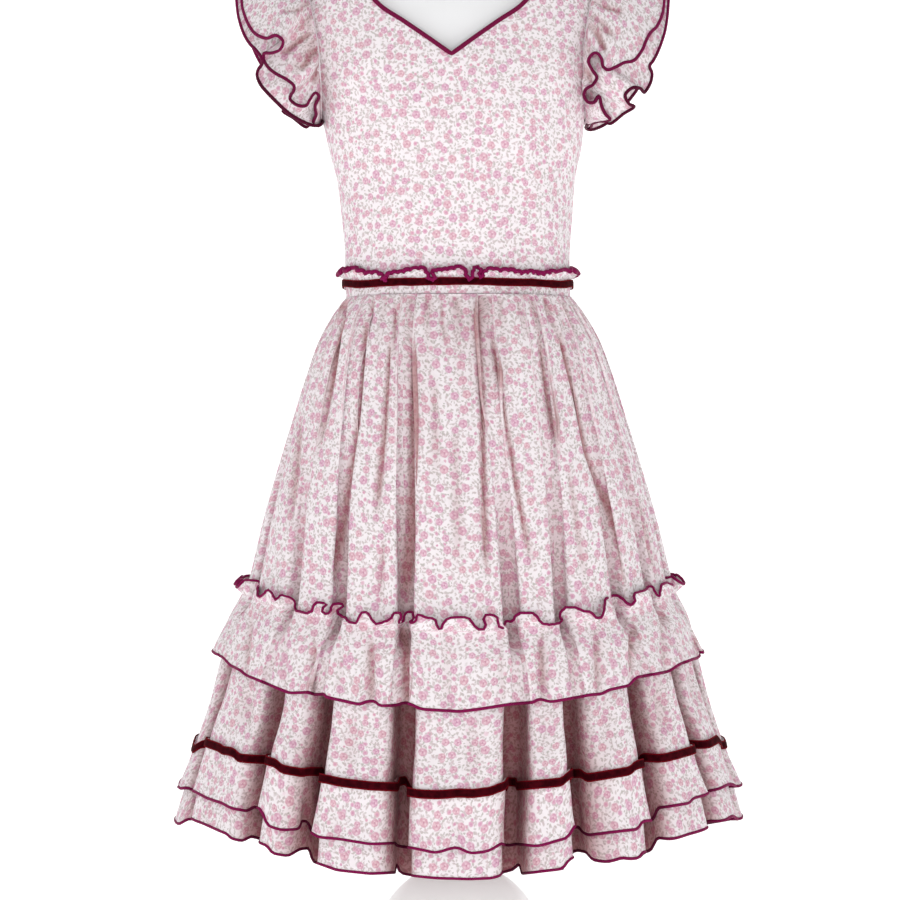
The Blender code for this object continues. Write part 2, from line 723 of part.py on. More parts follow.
def sleeve(name, side, upper):
    rows = (0.0, 0.5, 1.0)
    hole = armhole_loop()
    table = SLEEVE_EDGE + ((360.0,) + SLEEVE_EDGE[0][1:],)
    mid = np.mean([p for _, p in hole], axis=0)
    lines, backs = [], []
    for r in rows:
        q = r * (UPPER_SHARE if upper else 1.0)
        line, under = [], []
        for turn, c in hole:
            e = np.array([interp(table, turn, k) for k in (1, 2, 3)])
            w = c - mid
            w[0] = 0.0
            w = unit(w)
            start = c + np.array((1.1, 0.0, 0.0)) + w * 0.2
            p = start * (1 - q) + e * q
            axis = unit(e - start)
            nrm = unit(w - axis * float(w @ axis))
            room = min(1.0, np.linalg.norm(e - start) / 60.0)
            wave = SLEEVE_WAVE * room * q ** 1.5 * math.sin(
                math.radians(turn) * SLEEVE_WAVES + 0.7)
            bulge = SLEEVE_BULGE * room * 4 * q * (1 - q)
            off = bulge + wave + ((2.4 + 5.6 * r * room) if upper else 0.0)
            line.append(p + nrm * off)
            under.append(nrm)
        lines.append(line)
        backs.append(under)
    # inner face: a wall's thickness in from the outer one, square to it
    n = len(hole)
    for i, line in enumerate(lines):
        a, b = lines[max(i - 1, 0)], lines[min(i + 1, len(lines) - 1)]
        square = []
        for j in range(n):
            s = unit(np.cross(line[(j + 1) % n] - line[j - 1], b[j] - a[j]))
            square.append(s if s @ backs[i][j] > 0 else -s)
        backs[i] = [line[j] - CLOTH * square[j] for j in range(n)]
    if side < 0:
        lean = smooth(BODY, 920.0, 4)
        lines, backs = ([[np.array((2 * smooth(BODY, min(p[2], 980.0), 4) - p[0], p[1], p[2]))
                          for p in ln] for ln in block] for block in (lines, backs))
    return wall(name, lines, backs, PRINT, closed=True)


# ------------------------------------------------------------------ dress form
FORM_ROWS = (            # height, extra room under the cloth
    (FORM_BOTTOM, 12.0), (506.0, 6.0), (560.0, 6.0), (620.0, 6.0), (664.0, 5.0),
    (700.0, 0.5), (765.0, 0.5), (800.0, 1.0), (832.0, 2.5), (848.0, 6.0), (862.0, 7.0),
    (900.0, 4.5), (935.0, 4.0), (955.0, 3.5), (966.0, 2.5), (973.0, 1.5),
    (981.0, 1.5), (990.0, 1.5), (999.0, 1.5),
)
SHOULDER_DROP = 10.5      # the form's shoulders lie this far under the cloth's
NECK_ROWS = ((1012.0, 51.0), (1024.0, 48.0), (1040.0, 48.0))


def form_torso():
    """Smooth torso inside the bodice, closed at the hip and at the neck."""
    sides = 28
    rings = []
    for z, extra in FORM_ROWS:
        drop = SHOULDER_DROP * min(1.0, max(0.0, (z - 935.0) / 40.0))
        rings.append([body_point(z + drop, 2 * math.pi * k / sides,
                                 -CLOTH - FORM_CLEAR - extra, -drop)
                      for k in range(sides)])
    cx, cy = smooth(BODY, 1012.0, 4), smooth(BODY, 1012.0, 5)
    for z, r in NECK_ROWS:
        rings.append([(cx + r * math.sin(2 * math.pi * k / sides),
                       cy - r * math.cos(2 * math.pi * k / sides), z)
                      for k in range(sides)])
    v, f = grid(rings, closed=True)
    f.append(tuple(range(sides))[::-1])
    f.append(tuple(range((len(rings) - 1) * sides, len(rings) * sides)))
    return make("form_torso", v, f, WHITE, 0.45)


def stand():
    lean, cy = smooth(BODY, 1012.0, 4), smooth(BODY, 1012.0, 5)
    turned("form_neck_cap", [(0.0, 1040.3), (47.0, 1040.3), (47.0, 1049.0),
                             (44.0, NECK_TOP), (0.0, NECK_TOP)], 32, WHITE, 0.35,
           centre=(lean, cy))
    turned("form_pole", [(0.0, PLATE_T + 4.0), (POLE_R, PLATE_T + 4.0),
                         (POLE_R, FORM_BOTTOM - GAP), (0.0, FORM_BOTTOM - GAP)],
           24, (0.75, 0.75, 0.77), 0.3, 0.0)
    bore = POLE_R + GAP
    top = DOME_Z + math.sqrt(DOME_R ** 2 - SOCKET_R ** 2)
    turned("pole_socket", [(bore, PLATE_T + GAP), (SOCKET_R, PLATE_T + GAP),
                           (SOCKET_R, top - 6.0), (bore, top - 6.0)], 28,
           (0.80, 0.80, 0.82), 0.4)
    # domed foot: a hollow shell over the socket
    wall = 3.0
    rim = PLATE_T + GAP
    outer, inner = [], []
    a0 = math.asin((rim - DOME_Z) / DOME_R)
    a1 = math.acos((bore + 0.2) / DOME_R)
    for i in range(7):
        a = a0 + (a1 - a0) * i / 6
        outer.append((DOME_R * math.cos(a), DOME_Z + DOME_R * math.sin(a)))
    ri = DOME_R - wall
    b0 = math.asin((rim - DOME_Z) / ri)
    b1 = math.acos((bore + 0.2) / ri)
    for i in range(7):
        a = b0 + (b1 - b0) * i / 6
        inner.append((ri * math.cos(a), DOME_Z + ri * math.sin(a)))
    turned("dome_foot", outer + inner[::-1], 36, (0.82, 0.83, 0.84), 0.3)
    turned("base_plate", [(0.0, 0.0), (PLATE_R - 1.5, 0.0), (PLATE_R, 1.5),
                          (PLATE_R, PLATE_T - 1.5), (PLATE_R - 1.5, PLATE_T),
                          (0.0, PLATE_T)], 48, (0.80, 0.80, 0.81), 0.4)


# -------------------------------------------------------------- concealed zip
def zip_parts():
    """Tape behind the slit, on the inner face of the two backs, then the slider
    over the slit's top and its pull tab on a pin."""
    rows, n = PANEL["back"]
    outer, inner = [], []
    for z in ZIP_SKIRT_ROWS:
        # inside the skirt's centre back seam
        lv = float(np.interp(z, [r[1] for r in RING][::-1], [r[0] for r in RING][::-1]))
        y = interp([RING[0], RING[2], RING[3]], lv, 3) - CLOTH - 1.8
        line = [np.array((sx * ZIP_TAPE_W / 2, y - 0.5 * abs(sx), z)) for sx in (-1, 0, 1)]
        outer.append(line)
        inner.append([p - np.array((0.0, ZIP_TAPE_T, 0.0)) for p in line])
    for r in rows[:n]:
        e, q = np.array(r[0]), np.array(r[1])
        d = unit(q - e)
        mid = smooth(BODY, e[2], 4)
        side = np.array((d[0], d[1], 0.0))
        nrm = np.array((-d[1], d[0], 0.0))
        if nrm[1] < 0:
            nrm = -nrm
        nrm = unit(nrm)
        lows = CLOTH + GAP + 0.3
        r_edge = e + d * (ZIP_TAPE_W / 2)
        l_edge = flip_x(r_edge)
        nl = np.array((-nrm[0], nrm[1], 0.0))
        cen = np.array((mid, e[1], e[2]))
        up = np.array((0.0, 1.0, 0.0))
        outer.append([l_edge - nl * lows, cen - up * lows, r_edge - nrm * lows])
        inner.append([l_edge - nl * (lows + ZIP_TAPE_T), cen - up * (lows + ZIP_TAPE_T),
                      r_edge - nrm * (lows + ZIP_TAPE_T)])
    for block in (outer, inner):           # stop short of the binding
        block[-1] = [a * 0.75 + b * 0.25 for a, b in zip(block[-1], block[-2])]
    wall("zip_tape", outer, inner, (0.80, 0.72, 0.73), 0.8)
    x, y, _ = body_point(ZIP_TOP, math.pi)
    face = y + 0.8
    pin = (x, face + 2.4 + GAP + EYE_OUT, ZIP_TOP + 3.0)
    slider = make("zip_slider", *box_points(x, face + 1.2, ZIP_TOP, 7.0, 2.4, 9.0, 0.86),
                  PLUM, 0.35)
    for k, sx in enumerate((-1, 1)):
        lug = make("lug_%d" % k, *box_points(
            x + sx * (EYE_W / 2 + GAP + 0.7), face + 4.0, pin[2], 1.4, 4.2, 3.0, 1.0),
            PLUM, 0.35)
        combine(slider, lug, "UNION")
    combine(slider, rod("pin", pin, PIN_R, EYE_W + 2 * GAP + 1.4), "UNION")
    pull(pin)


def combine(ob, other, how):
    """Boolean that keeps the other object as a hidden guide."""
    m = ob.modifiers.new(other.name, "BOOLEAN")
    m.operation, m.object, m.solver = how, other, "EXACT"
    other.hide_render = True
    other.display_type = "WIRE"


def rod(name, centre, radius, length, sides=10):
    """Round bar along X."""
    cx, cy, cz = centre
    ring0 = [(cx - length / 2, cy + radius * math.cos(2 * math.pi * k / sides + 0.2),
              cz + radius * math.sin(2 * math.pi * k / sides + 0.2)) for k in range(sides)]
    ring1 = [(p[0] + length, p[1], p[2]) for p in ring0]
    f = [tuple(range(sides))[::-1], tuple(range(sides, 2 * sides))]
    f += [(k, (k + 1) % sides, sides + (k + 1) % sides, sides + k) for k in range(sides)]
    return make(name, ring0 + ring1, f, PLUM, 0.35)


def box_points(x, y, z, w, d, h, taper):
    v = []
    for zz, k in ((z - h / 2, taper), (z + h / 2, 1.0)):
        for sx, sy in ((-1, -1), (1, -1), (1, 1), (-1, 1)):
            v.append((x + sx * w / 2 * k, y + sy * d / 2, zz))
    f = [(3, 2, 1, 0), (4, 5, 6, 7), (0, 1, 5, 4), (1, 2, 6, 5), (2, 3, 7, 6),
         (3, 0, 4, 7)]
    return v, f


def pull(pin):
    """Teardrop tab on the slider's pin: an eye round the pin, a narrow neck and
    a round lower end.  Its origin is on the hinge axis."""
    px, py, pz = pin
    out = [(px - 1.3, pz - 0.6), (px - 1.3, pz - 6.0)]
    steps = 9
    for i in range(steps):                      # round lower end
        a = math.pi + math.pi * i / (steps - 1)
        out.append((px + PULL_W / 2 * math.cos(a),
                    pz - PULL_L + PULL_W / 2 + PULL_W / 2 * math.sin(a)))
    out += [(px + 1.3, pz - 6.0), (px + 1.3, pz - 0.6)]
    n = len(out)
    v = [(x, py - PULL_T / 2, z) for x, z in out] + [(x, py + PULL_T / 2, z) for x, z in out]
    f = [tuple(range(n)), tuple(range(n, 2 * n))[::-1]]
    f += [(i, n + i, n + (i + 1) % n, (i + 1) % n) for i in range(n)]
    tab = make("zip_pull", v, f, PLUM, 0.35, origin=pin)
    combine(tab, rod("eye", pin, EYE_OUT, EYE_W, 12), "UNION")
    combine(tab, rod("eye_bore", pin, EYE_R, EYE_W + 2.0, 12), "DIFFERENCE")


bodice_front()
bodice_back("bodice_back_left", False)
bodice_back("bodice_back_right", True)
skirt()
waist_trims()
neck_binding()
for s, tag in ((-1, "right"), (1, "left")):
    sleeve("sleeve_%s_under" % tag, s, False)
    sleeve("sleeve_%s_upper" % tag, s, True)
form_torso()
stand()
zip_parts()
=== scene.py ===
"""Looks of the flamenco dress and its dress form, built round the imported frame.

Tables are in millimetres and degrees, in the frame's own axes: +Z up, the front
faces -Y, +X is the wearer's left.  "Seen" places are where a point falls in a
900 x 900 picture taken by the level camera below; they only place folds.
"""
import bmesh
import bpy
import math
import numpy as np
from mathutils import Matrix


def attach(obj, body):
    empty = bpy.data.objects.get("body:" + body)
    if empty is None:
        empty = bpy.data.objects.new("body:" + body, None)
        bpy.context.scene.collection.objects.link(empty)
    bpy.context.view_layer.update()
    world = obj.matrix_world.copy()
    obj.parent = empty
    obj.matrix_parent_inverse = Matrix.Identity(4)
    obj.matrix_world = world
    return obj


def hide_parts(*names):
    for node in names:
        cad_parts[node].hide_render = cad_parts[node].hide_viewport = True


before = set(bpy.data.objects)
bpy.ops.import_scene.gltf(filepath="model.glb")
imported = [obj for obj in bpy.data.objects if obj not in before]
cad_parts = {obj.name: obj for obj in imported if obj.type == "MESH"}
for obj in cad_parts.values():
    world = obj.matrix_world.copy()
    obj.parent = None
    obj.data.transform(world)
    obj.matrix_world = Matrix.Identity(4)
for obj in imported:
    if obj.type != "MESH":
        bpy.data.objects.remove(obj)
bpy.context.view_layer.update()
BODY_NAME = "dress_and_form"
MM = 0.001

# ------------------------------------------------------------------ the frame
GAP, CLOTH = 0.3, 1.2
WAIST_SEAM = 651.0
HEM_LEVEL = 137.5
SKIRT_TOP = 650.6
STITCH_1, HEADING_1, EDGE_1 = 359.0, 374.0, 301.0
SEAM_2, EDGE_2 = 209.0, 169.0
RIBBON_W, BINDING_W = 9.0, 4.0
VELVET_W = 8.2
PLATE_R, PLATE_T = 150.0, 8.0
DOME_R, DOME_Z = 84.5, 2.5
POLE_R, SOCKET_R = 10.0, 28.0
FORM_BOTTOM, NECK_TOP = 500.0, 1052.0
ZIP_TOP = 946.0

# height, half width, front and back half depth, sideways lean, centre
BODY = (
    (560.0, 124.0, 98.0, 98.0, -0.5, 0.0), (651.0, 112.0, 86.5, 84.0, -1.0, 0.0),
    (690.0, 112.0, 87.0, 84.0, -2.0, 0.0), (730.0, 114.3, 89.0, 85.0, -2.5, 0.0),
    (765.0, 117.6, 91.0, 87.0, -3.0, 0.0), (800.0, 125.6, 94.0, 90.0, -4.0, 0.0),
    (832.0, 131.0, 96.0, 92.0, -5.5, 0.0), (862.0, 143.0, 95.5, 92.0, -7.0, 0.5),
    (900.0, 150.0, 91.0, 89.0, -8.0, 1.5), (935.0, 153.0, 84.0, 83.0, -8.5, 3.0),
    (962.0, 153.0, 74.0, 75.0, -8.5, 5.0), (980.0, 149.0, 64.0, 66.0, -8.5, 6.5),
    (990.0, 128.0, 60.0, 62.0, -8.5, 7.0), (1000.0, 98.0, 58.0, 60.0, -8.5, 7.5),
    (1012.0, 60.0, 54.0, 55.0, -8.5, 8.0),
)
BODY_POWER = 2.3
V_NECK = ((882.0, 0.0), (899.0, 23.0), (915.0, 45.0), (932.0, 68.0),
          (955.0, 84.0), (978.0, 92.0), (1000.5, 96.0))
BACK_NECK = ((962.0, 0.0), (963.0, 25.0), (968.0, 50.0), (976.0, 72.0),
             (986.0, 86.0), (994.0, 93.0), (1000.5, 96.0))
ARMHOLE = ((832.0, 131.0), (838.0, 130.0), (852.0, 128.5), (880.0, 128.5),
           (915.0, 132.5), (948.0, 139.5), (970.0, 145.0), (981.5, 146.0))
# level, height at centre front, half width, half depth, fold share, power
RING = (
    (650.6, 650.6, 114.0, 88.5, 0.04, 2.3), (636.0, 632.0, 125.0, 99.0, 0.07, 2.2),
    (605.0, 596.0, 142.0, 116.0, 0.13, 2.1), (530.0, 516.0, 167.0, 141.0, 0.23, 2.0),
    (440.0, 420.0, 194.0, 166.0, 0.33, 2.0), (359.0, 333.0, 214.0, 186.0, 0.42, 2.0),
    (335.0, 305.0, 222.0, 194.0, 0.56, 2.0), (301.0, 267.0, 235.5, 206.0, 0.72, 2.0),
    (260.0, 230.0, 246.0, 216.0, 0.84, 2.0), (213.5, 193.5, 260.5, 229.0, 0.94, 2.0),
    (204.5, 184.5, 263.0, 231.0, 0.95, 2.0), (169.0, 146.0, 272.0, 239.0, 0.98, 2.0),
    (137.5, 115.0, 281.0, 247.0, 1.00, 2.0),
)
# angle at the waist, at flounce 1 and at the hem; depth, mouth, floor
FOLDS = (
    (-164.0, -165.0, -166.0, 44.0, 13.0, 7.2), (-143.0, -144.0, -146.0, 50.0, 13.5, 7.5),
    (-122.0, -123.0, -125.0, 38.0, 12.5, 7.2), (-100.0, -102.0, -103.0, 42.0, 13.0, 7.5),
    (-78.0, -72.0, -70.0, 34.0, 12.0, 7.0), (-62.0, -49.0, -44.5, 38.0, 12.5, 7.2),
    (-45.0, -33.5, -31.5, 52.0, 13.5, 7.5), (-21.0, -14.0, -11.5, 58.0, 12.5, 7.2),
    (9.5, 13.5, 10.5, 54.0, 13.5, 7.5), (31.0, 27.5, 24.2, 46.0, 13.0, 7.2),
    (48.0, 46.0, 41.5, 44.0, 13.0, 7.2), (65.0, 62.0, 60.0, 36.0, 12.0, 7.0),
    (81.0, 79.0, 79.0, 44.0, 13.0, 7.2), (103.0, 104.0, 105.0, 38.0, 12.5, 7.2),
    (124.0, 125.0, 127.0, 50.0, 13.5, 7.5), (146.0, 147.0, 148.0, 36.0, 12.5, 7.2),
    (168.0, 168.0, 169.0, 46.0, 13.0, 7.2),
)
NARROW_LOBES = (5, 9)
LOBE_EASE = 0.10
# level, out, shallower, narrower
FLOUNCE_1 = ((359.0, 2.1, 0.0, 2.1), (335.0, 6.8, 8.0, 2.2), (301.0, 8.8, 12.0, 2.2))
FLOUNCE_2 = ((213.5, 1.9, 0.0, 2.0), (204.5, 1.9, 0.0, 2.0), (169.0, 7.5, 8.0, 2.2))
RIBBON_2 = (3.4, 0.0, 3.7)

# ------------------------------------------------------- the camera, and seen
CAM = (-9.0, -2330.0, 500.0)
LENS = 93.2


def seen(p, back=False):
    """Picture place of points (..., 3) in mm; back looks from behind."""
    x, y, z = p[..., 0], p[..., 1], p[..., 2]
    if back:
        x, y = -x - 18.0, -y
    k = -CAM[1] / (-CAM[1] + y)
    return 450.0 + (x - CAM[0]) * k, 450.0 + (CAM[2] - z) * k, k


# -------------------------------------------------------------------- numbers
def mono(table, x, col, key=0):
    """Monotone cubic through a table's column, for an array."""
    rows = sorted((r[key], r[col]) for r in table)
    xs, ys = np.array([r[0] for r in rows]), np.array([r[1] for r in rows])
    return pchip(xs, ys, x)


def pchip(xs, ys, x):
    """Monotone cubic; ys may have further axes behind the first."""
    x = np.clip(np.asarray(x, float), xs[0], xs[-1])
    tail = (1,) * (ys.ndim - 1)
    h = np.diff(xs).reshape((-1,) + tail)
    d = np.diff(ys, axis=0) / h
    m = np.zeros_like(ys)
    m[0], m[-1] = d[0], d[-1]
    if len(xs) > 2:
        same = d[:-1] * d[1:] > 0
        total = np.where(same, d[:-1] + d[1:], 1.0)
        m[1:-1] = np.where(same, 2 * d[:-1] * d[1:] / total, 0.0)
    i = np.clip(np.searchsorted(xs, x, side="right") - 1, 0, len(xs) - 2)
    t = ((x - xs[i]) / np.diff(xs)[i]).reshape(x.shape + tail)
    hh = np.diff(xs)[i].reshape(x.shape + tail)
    return (ys[i] * (1 + 2 * t) * (1 - t) ** 2 + hh * m[i] * t * (1 - t) ** 2
            + ys[i + 1] * t * t * (3 - 2 * t) + hh * m[i + 1] * t * t * (t - 1))


def noise(c, cells, seed):
    """Smooth noise, -1 to 1, that repeats when c has gone from 0 to 1."""
    v = np.random.default_rng(seed).uniform(-1, 1, cells)
    x = np.asarray(c) * cells
    i = np.floor(x).astype(int)
    f = x - i
    f = f * f * (3 - 2 * f)
    return v[i % cells] * (1 - f) + v[(i + 1) % cells] * f


def noise2(u, v, cell_u, cell_v, seed):
    """Smooth noise over two lengths, not repeating."""
    n = 64
    g = np.random.default_rng(seed).uniform(-1, 1, (n, n))
    x, y = u / cell_u, v / cell_v
    i, j = np.floor(x).astype(int), np.floor(y).astype(int)
    f, h = x - i, y - j
    f, h = f * f * (3 - 2 * f), h * h * (3 - 2 * h)
    a = g[i % n, j % n] * (1 - f) + g[(i + 1) % n, j % n] * f
    b = g[i % n, (j + 1) % n] * (1 - f) + g[(i + 1) % n, (j + 1) % n] * f
    return a * (1 - h) + b * h


def gathers(c, count, seed, soft=0.015):
    """Round ridges with narrow valleys between them, uneven, -1 to 0."""
    warp = count * c + 0.85 * noise(c, max(3, int(count * 0.4)), seed) \
        + 0.5 * noise(c, max(3, int(count * 0.13)), seed + 7)
    s = np.sin(math.pi * warp)
    size = 0.62 + 0.38 * noise(c, max(3, int(count * 0.7)), seed + 3)
    return (np.sqrt(s * s + soft) / math.sqrt(1.0 + soft) - 1.0) * size


def fade(x, a, b):
    """0 at a, 1 at b, smooth between."""
    t = np.clip((np.asarray(x, float) - a) / (b - a), 0, 1)
    return t * t * (3 - 2 * t)


def unit(v):
    return v / np.maximum(np.linalg.norm(v, axis=-1, keepdims=True), 1e-9)


# ------------------------------------------------------------- skirt's rings
def ring_xy(a, b, power, theta, inset):
    s, c = np.sin(theta), np.cos(theta)
    e = 2.0 / power
    x, y = a * np.copysign(abs(s) ** e, s), -b * np.copysign(abs(c) ** e, c)
    nx = np.copysign(abs(x / a) ** (power - 1), x) / a
    ny = np.copysign(abs(y / b) ** (power - 1), y) / b
    n = np.hypot(nx, ny)
    return x - inset * nx / n, y - inset * ny / n


def ring(level, grow=0.0, shallower=0.0, narrower=0.0):
    """Control columns of each level, (rows, columns, 3)."""
    lv = np.asarray(level, float)
    one = np.ones_like(lv)
    grow, shallower, narrower = grow * one, shallower * one, narrower * one
    zf, a, b, share, power = (mono(RING, lv, k) for k in (1, 2, 3, 4, 5))
    marks = []
    for f in FOLDS:
        th = np.radians(mono(((HEM_LEVEL, f[2]), (STITCH_1, f[1]), (SKIRT_TOP, f[0])),
                             lv, 1))
        rho = np.hypot(a * np.cos(th), b * np.sin(th))
        depth = np.maximum(f[3] * share - shallower, f[3] * share * 0.25)
        tight = 0.55 + 0.45 * np.minimum(1.0, share / 0.9)
        marks.append((th, rho, depth, np.maximum(f[4] * tight - narrower, 3.0),
                      np.maximum(f[5] * tight - narrower, 1.4)))
    cols = []
    for k, (th, rho, depth, mouth, floor) in enumerate(marks):
        ease = LOBE_EASE * depth
        deep = rho * (1.0 - (depth - grow) * a * b / rho ** 3)
        cols += [(th - mouth / rho, ease), (th - floor / deep, depth),
                 (th + floor / deep, depth), (th + mouth / rho, ease)]
        nxt = marks[(k + 1) % len(marks)]
        start = th + mouth / rho
        end = nxt[0] - nxt[3] / nxt[1] + (2 * math.pi if k == len(marks) - 1 else 0)
        if k not in NARROW_LOBES:
            cols.append((0.5 * (start + end), 0.0 * one))
    th = np.stack([c[0] for c in cols], -1)
    inset = np.stack([c[1] for c in cols], -1)
    x, y = ring_xy(a[:, None], b[:, None], power[:, None], th, inset - grow[:, None])
    z = lv[:, None] + (zf - lv)[:, None] * np.cos(th) ** 2
    return np.stack([x, y, z], -1)


def spline_basis(count, ease=0.62):
    """Matrix from the control columns to count columns of a smooth closed curve; the columns start at
    centre back."""
    ctrl = ring([HEM_LEVEL])[0]
    n = len(ctrl)
    h = np.linalg.norm(np.roll(ctrl, -1, 0) - ctrl, axis=1) ** ease
    t = np.concatenate([[0.0], np.cumsum(h)])
    a = np.zeros((n, n))
    r = np.zeros((n, n))
    for i in range(n):
        p, q = (i - 1) % n, (i + 1) % n
        a[i, p] += h[p]
        a[i, i] += 2 * (h[p] + h[i])
        a[i, q] += h[i]
        r[i, q] += 6 / h[i]
        r[i, i] -= 6 / h[i] + 6 / h[p]
        r[i, p] += 6 / h[p]
    m = np.linalg.solve(a, r)

    def rows(u):
        u = np.mod(u, t[-1])
        i = np.clip(np.searchsorted(t, u, side="right") - 1, 0, n - 1)
        f = u - t[i]
        g = h[i] - f
        hh = h[i]
        out = np.zeros((len(u), n))
        k = np.arange(len(u))
        out[k, i] += g / hh
        out[k, (i + 1) % n] += f / hh
        out += ((g ** 3 / (6 * hh) - hh * g / 6)[:, None] * m[i]
                + (f ** 3 / (6 * hh) - hh * f / 6)[:, None] * m[(i + 1) % n])
        return out

    fine = np.linspace(0, t[-1], 12001)[:-1]
    pts = rows(fine) @ ctrl
    step = np.linalg.norm(np.roll(pts, -1, 0) - pts, axis=1)
    run = np.concatenate([[0.0], np.cumsum(step)])
    # start at centre back, so that the seam in the columns lies there
    ang = np.arctan2(pts[:, 0], -pts[:, 1])
    first = int(np.argmin(np.abs(np.abs(ang) - math.pi) + (ang > 0) * 0.0))
    want = (run[first] + np.arange(count) / count * run[-1]) % run[-1]
    u = np.interp(want, run, np.concatenate([fine, [t[-1]]]))
    return rows(u)


def outward(p):
    """Level outward normal of closed rows (rows, columns, 3)."""
    t = np.roll(p, -1, 1) - np.roll(p, 1, 1)
    n = np.stack([t[..., 1], -t[..., 0], np.zeros(t.shape[:2])], -1)
    return unit(n)


def blur_cols(a, sigma, axis=1, wrap=True):
    r = int(max(1, round(sigma * 3)))
    k = np.exp(-0.5 * (np.arange(-r, r + 1) / sigma) ** 2)
    k /= k.sum()
    if wrap:
        return sum(w * np.roll(a, s, axis) for w, s in zip(k, range(-r, r + 1)))
    pad = [(0, 0)] * a.ndim
    pad[axis] = (r, r)
    b = np.pad(a, pad, mode="edge")
    return sum(w * np.take(b, np.arange(a.shape[axis]) + s, axis)
               for w, s in zip(k, range(0, 2 * r + 1)))


def envelope(row, window):
    """Distance from the axis of the cloth that stands furthest out near each
    point of a closed row, and the point's own distance."""
    bins = 900
    a = np.arctan2(row[:, 0], -row[:, 1]) / (2 * math.pi) % 1.0
    r = np.hypot(row[:, 0], row[:, 1])
    top = np.zeros(bins)
    np.maximum.at(top, (a * bins).astype(int) % bins, r)
    step = 2 * math.pi * r.mean() / bins
    top = np.maximum(top, np.maximum(np.roll(top, 1), np.roll(top, -1)))
    k = max(1, int(round(window / step)))
    env = np.max([np.roll(top, j) for j in range(-k, k + 1)], axis=0)
    env = np.mean([np.roll(env, j) for j in range(-k, k + 1)], axis=0)
    x = a * bins
    j = np.floor(x).astype(int)
    f = x - j
    return env[j % bins] * (1 - f) + env[(j + 1) % bins] * f, r


def hollows(p, window=9.0, scale=7.0):
    """How far each point of closed rows lies back behind the cloth round it,
    0 to 1: what stays in shade however the dress is lit."""
    out = np.zeros(p.shape[:2])
    for i, row in enumerate(p):
        env, r = envelope(row, window)
        out[i] = 1.0 - np.exp(-np.maximum(0.0, env - r - 1.4) / scale)
    out = blur_cols(out, 1.5)
    if len(out) > 6:
        out = blur_cols(out, 0.8, 0, False)
    return np.clip(out, 0, 1)


def eased(p, share, window=14.0):
    """Closed rows with their folds made shallower by a share for each row."""
    out = p.copy()
    for i, row in enumerate(p):
        if share[i] > 0.01:
            env, r = envelope(row, window)
            grow = 1.0 + share[i] * np.maximum(0.0, env - r) / r
            out[i, :, :2] = row[:, :2] * grow[:, None]
    return out


# ---------------------------------------------------------- mesh of a thin wall
def new_mesh(name, verts, quads, tris=None, quad_uv=None, tri_uv=None, mats=(),
             quad_mat=None, tri_mat=None, smooth=60.0, painted_shade=None):
    """Object from arrays; *_uv are dicts of layer -> (faces, corners, 2)."""
    me = bpy.data.meshes.new(name)
    me.vertices.add(len(verts))
    me.vertices.foreach_set("co", (np.asarray(verts) * MM).astype(np.float32).ravel())
    nq = 0 if quads is None else len(quads)
    nt = 0 if tris is None else len(tris)
    loops = np.concatenate(([np.asarray(quads).ravel()] if nq else [])
                           + ([np.asarray(tris).ravel()] if nt else []))
    me.loops.add(len(loops))
    me.loops.foreach_set("vertex_index", loops.astype(np.int32))
    me.polygons.add(nq + nt)
    start = np.concatenate([np.arange(nq) * 4, nq * 4 + np.arange(nt) * 3])
    me.polygons.foreach_set("loop_start", start.astype(np.int32))
    if mats:
        for m in mats:
            me.materials.append(m)
        qm = np.zeros(nq, int) if quad_mat is None else quad_mat
        tm = np.zeros(nt, int) if tri_mat is None else tri_mat
        me.polygons.foreach_set("material_index", np.concatenate([qm, tm]).astype(np.int32))
    me.update(calc_edges=True)
    for layer in (quad_uv or tri_uv or {}):
        parts = []
        if nq:
            parts.append(np.asarray(quad_uv[layer]).reshape(-1))
        if nt:
            parts.append(np.asarray(tri_uv[layer]).reshape(-1))
        uv = me.uv_layers.new(name=layer)
        uv.data.foreach_set("uv", np.concatenate(parts).astype(np.float32))
    # painted shade: a point attribute by which the materials darken the colour in hollows and creases
    if painted_shade is not None:
        mark = me.attributes.new("painted_shade", "FLOAT", "POINT")
        mark.data.foreach_set("value", np.asarray(painted_shade, np.float32).ravel())
    me.validate()
    ob = bpy.data.objects.new(name, me)
    bpy.context.scene.collection.objects.link(ob)
    me.polygons.foreach_set("use_smooth", np.ones(len(me.polygons), bool))
    if smooth:
        me.set_sharp_from_angle(angle=math.radians(smooth))
    return ob


def normals(p, closed):
    """Normals of a sheet of rows: down the rows crossed with along them."""
    if closed:
        along = np.roll(p, -1, 1) - np.roll(p, 1, 1)
    else:
        along = np.gradient(p, axis=1)
    down = np.gradient(p, axis=0)
    n = unit(np.cross(down, along))
    bad = np.linalg.norm(np.cross(down, along), axis=-1) < 1e-9
    if bad.any():
        n[bad] = unit(blur_cols(n, 1.0, 0, False))[bad]
    return n


def bands(rows, cols, bands_wide, y0, y1, x0=0.004, x1=0.996):
    """Places for a strip of rows x cols quads, cut into bands one above another;
    (rows, cols, 4 corners, 2) for corners (i,j) (i+1,j) (i+1,j+1) (i,j+1)."""
    per = int(math.ceil(cols / bands_wide))
    j = np.arange(cols)
    band = j // per
    xl = x0 + (x1 - x0) * (j - band * per) / per
    xr = x0 + (x1 - x0) * (j - band * per + 1) / per
    hgt = (y1 - y0) / bands_wide
    lo = y0 + band * hgt + 0.03 * hgt
    hi = y0 + (band + 1) * hgt - 0.03 * hgt
    v = np.linspace(1, 0, rows + 1)
    out = np.zeros((rows, cols, 4, 2))
    top = lo[None] + (hi - lo)[None] * v[:-1, None]
    bot = lo[None] + (hi - lo)[None] * v[1:, None]
    out[..., 0, 0] = out[..., 1, 0] = xl[None]
    out[..., 2, 0] = out[..., 3, 0] = xr[None]
    out[..., 0, 1] = out[..., 3, 1] = top
    out[..., 1, 1] = out[..., 2, 1] = bot
    return out


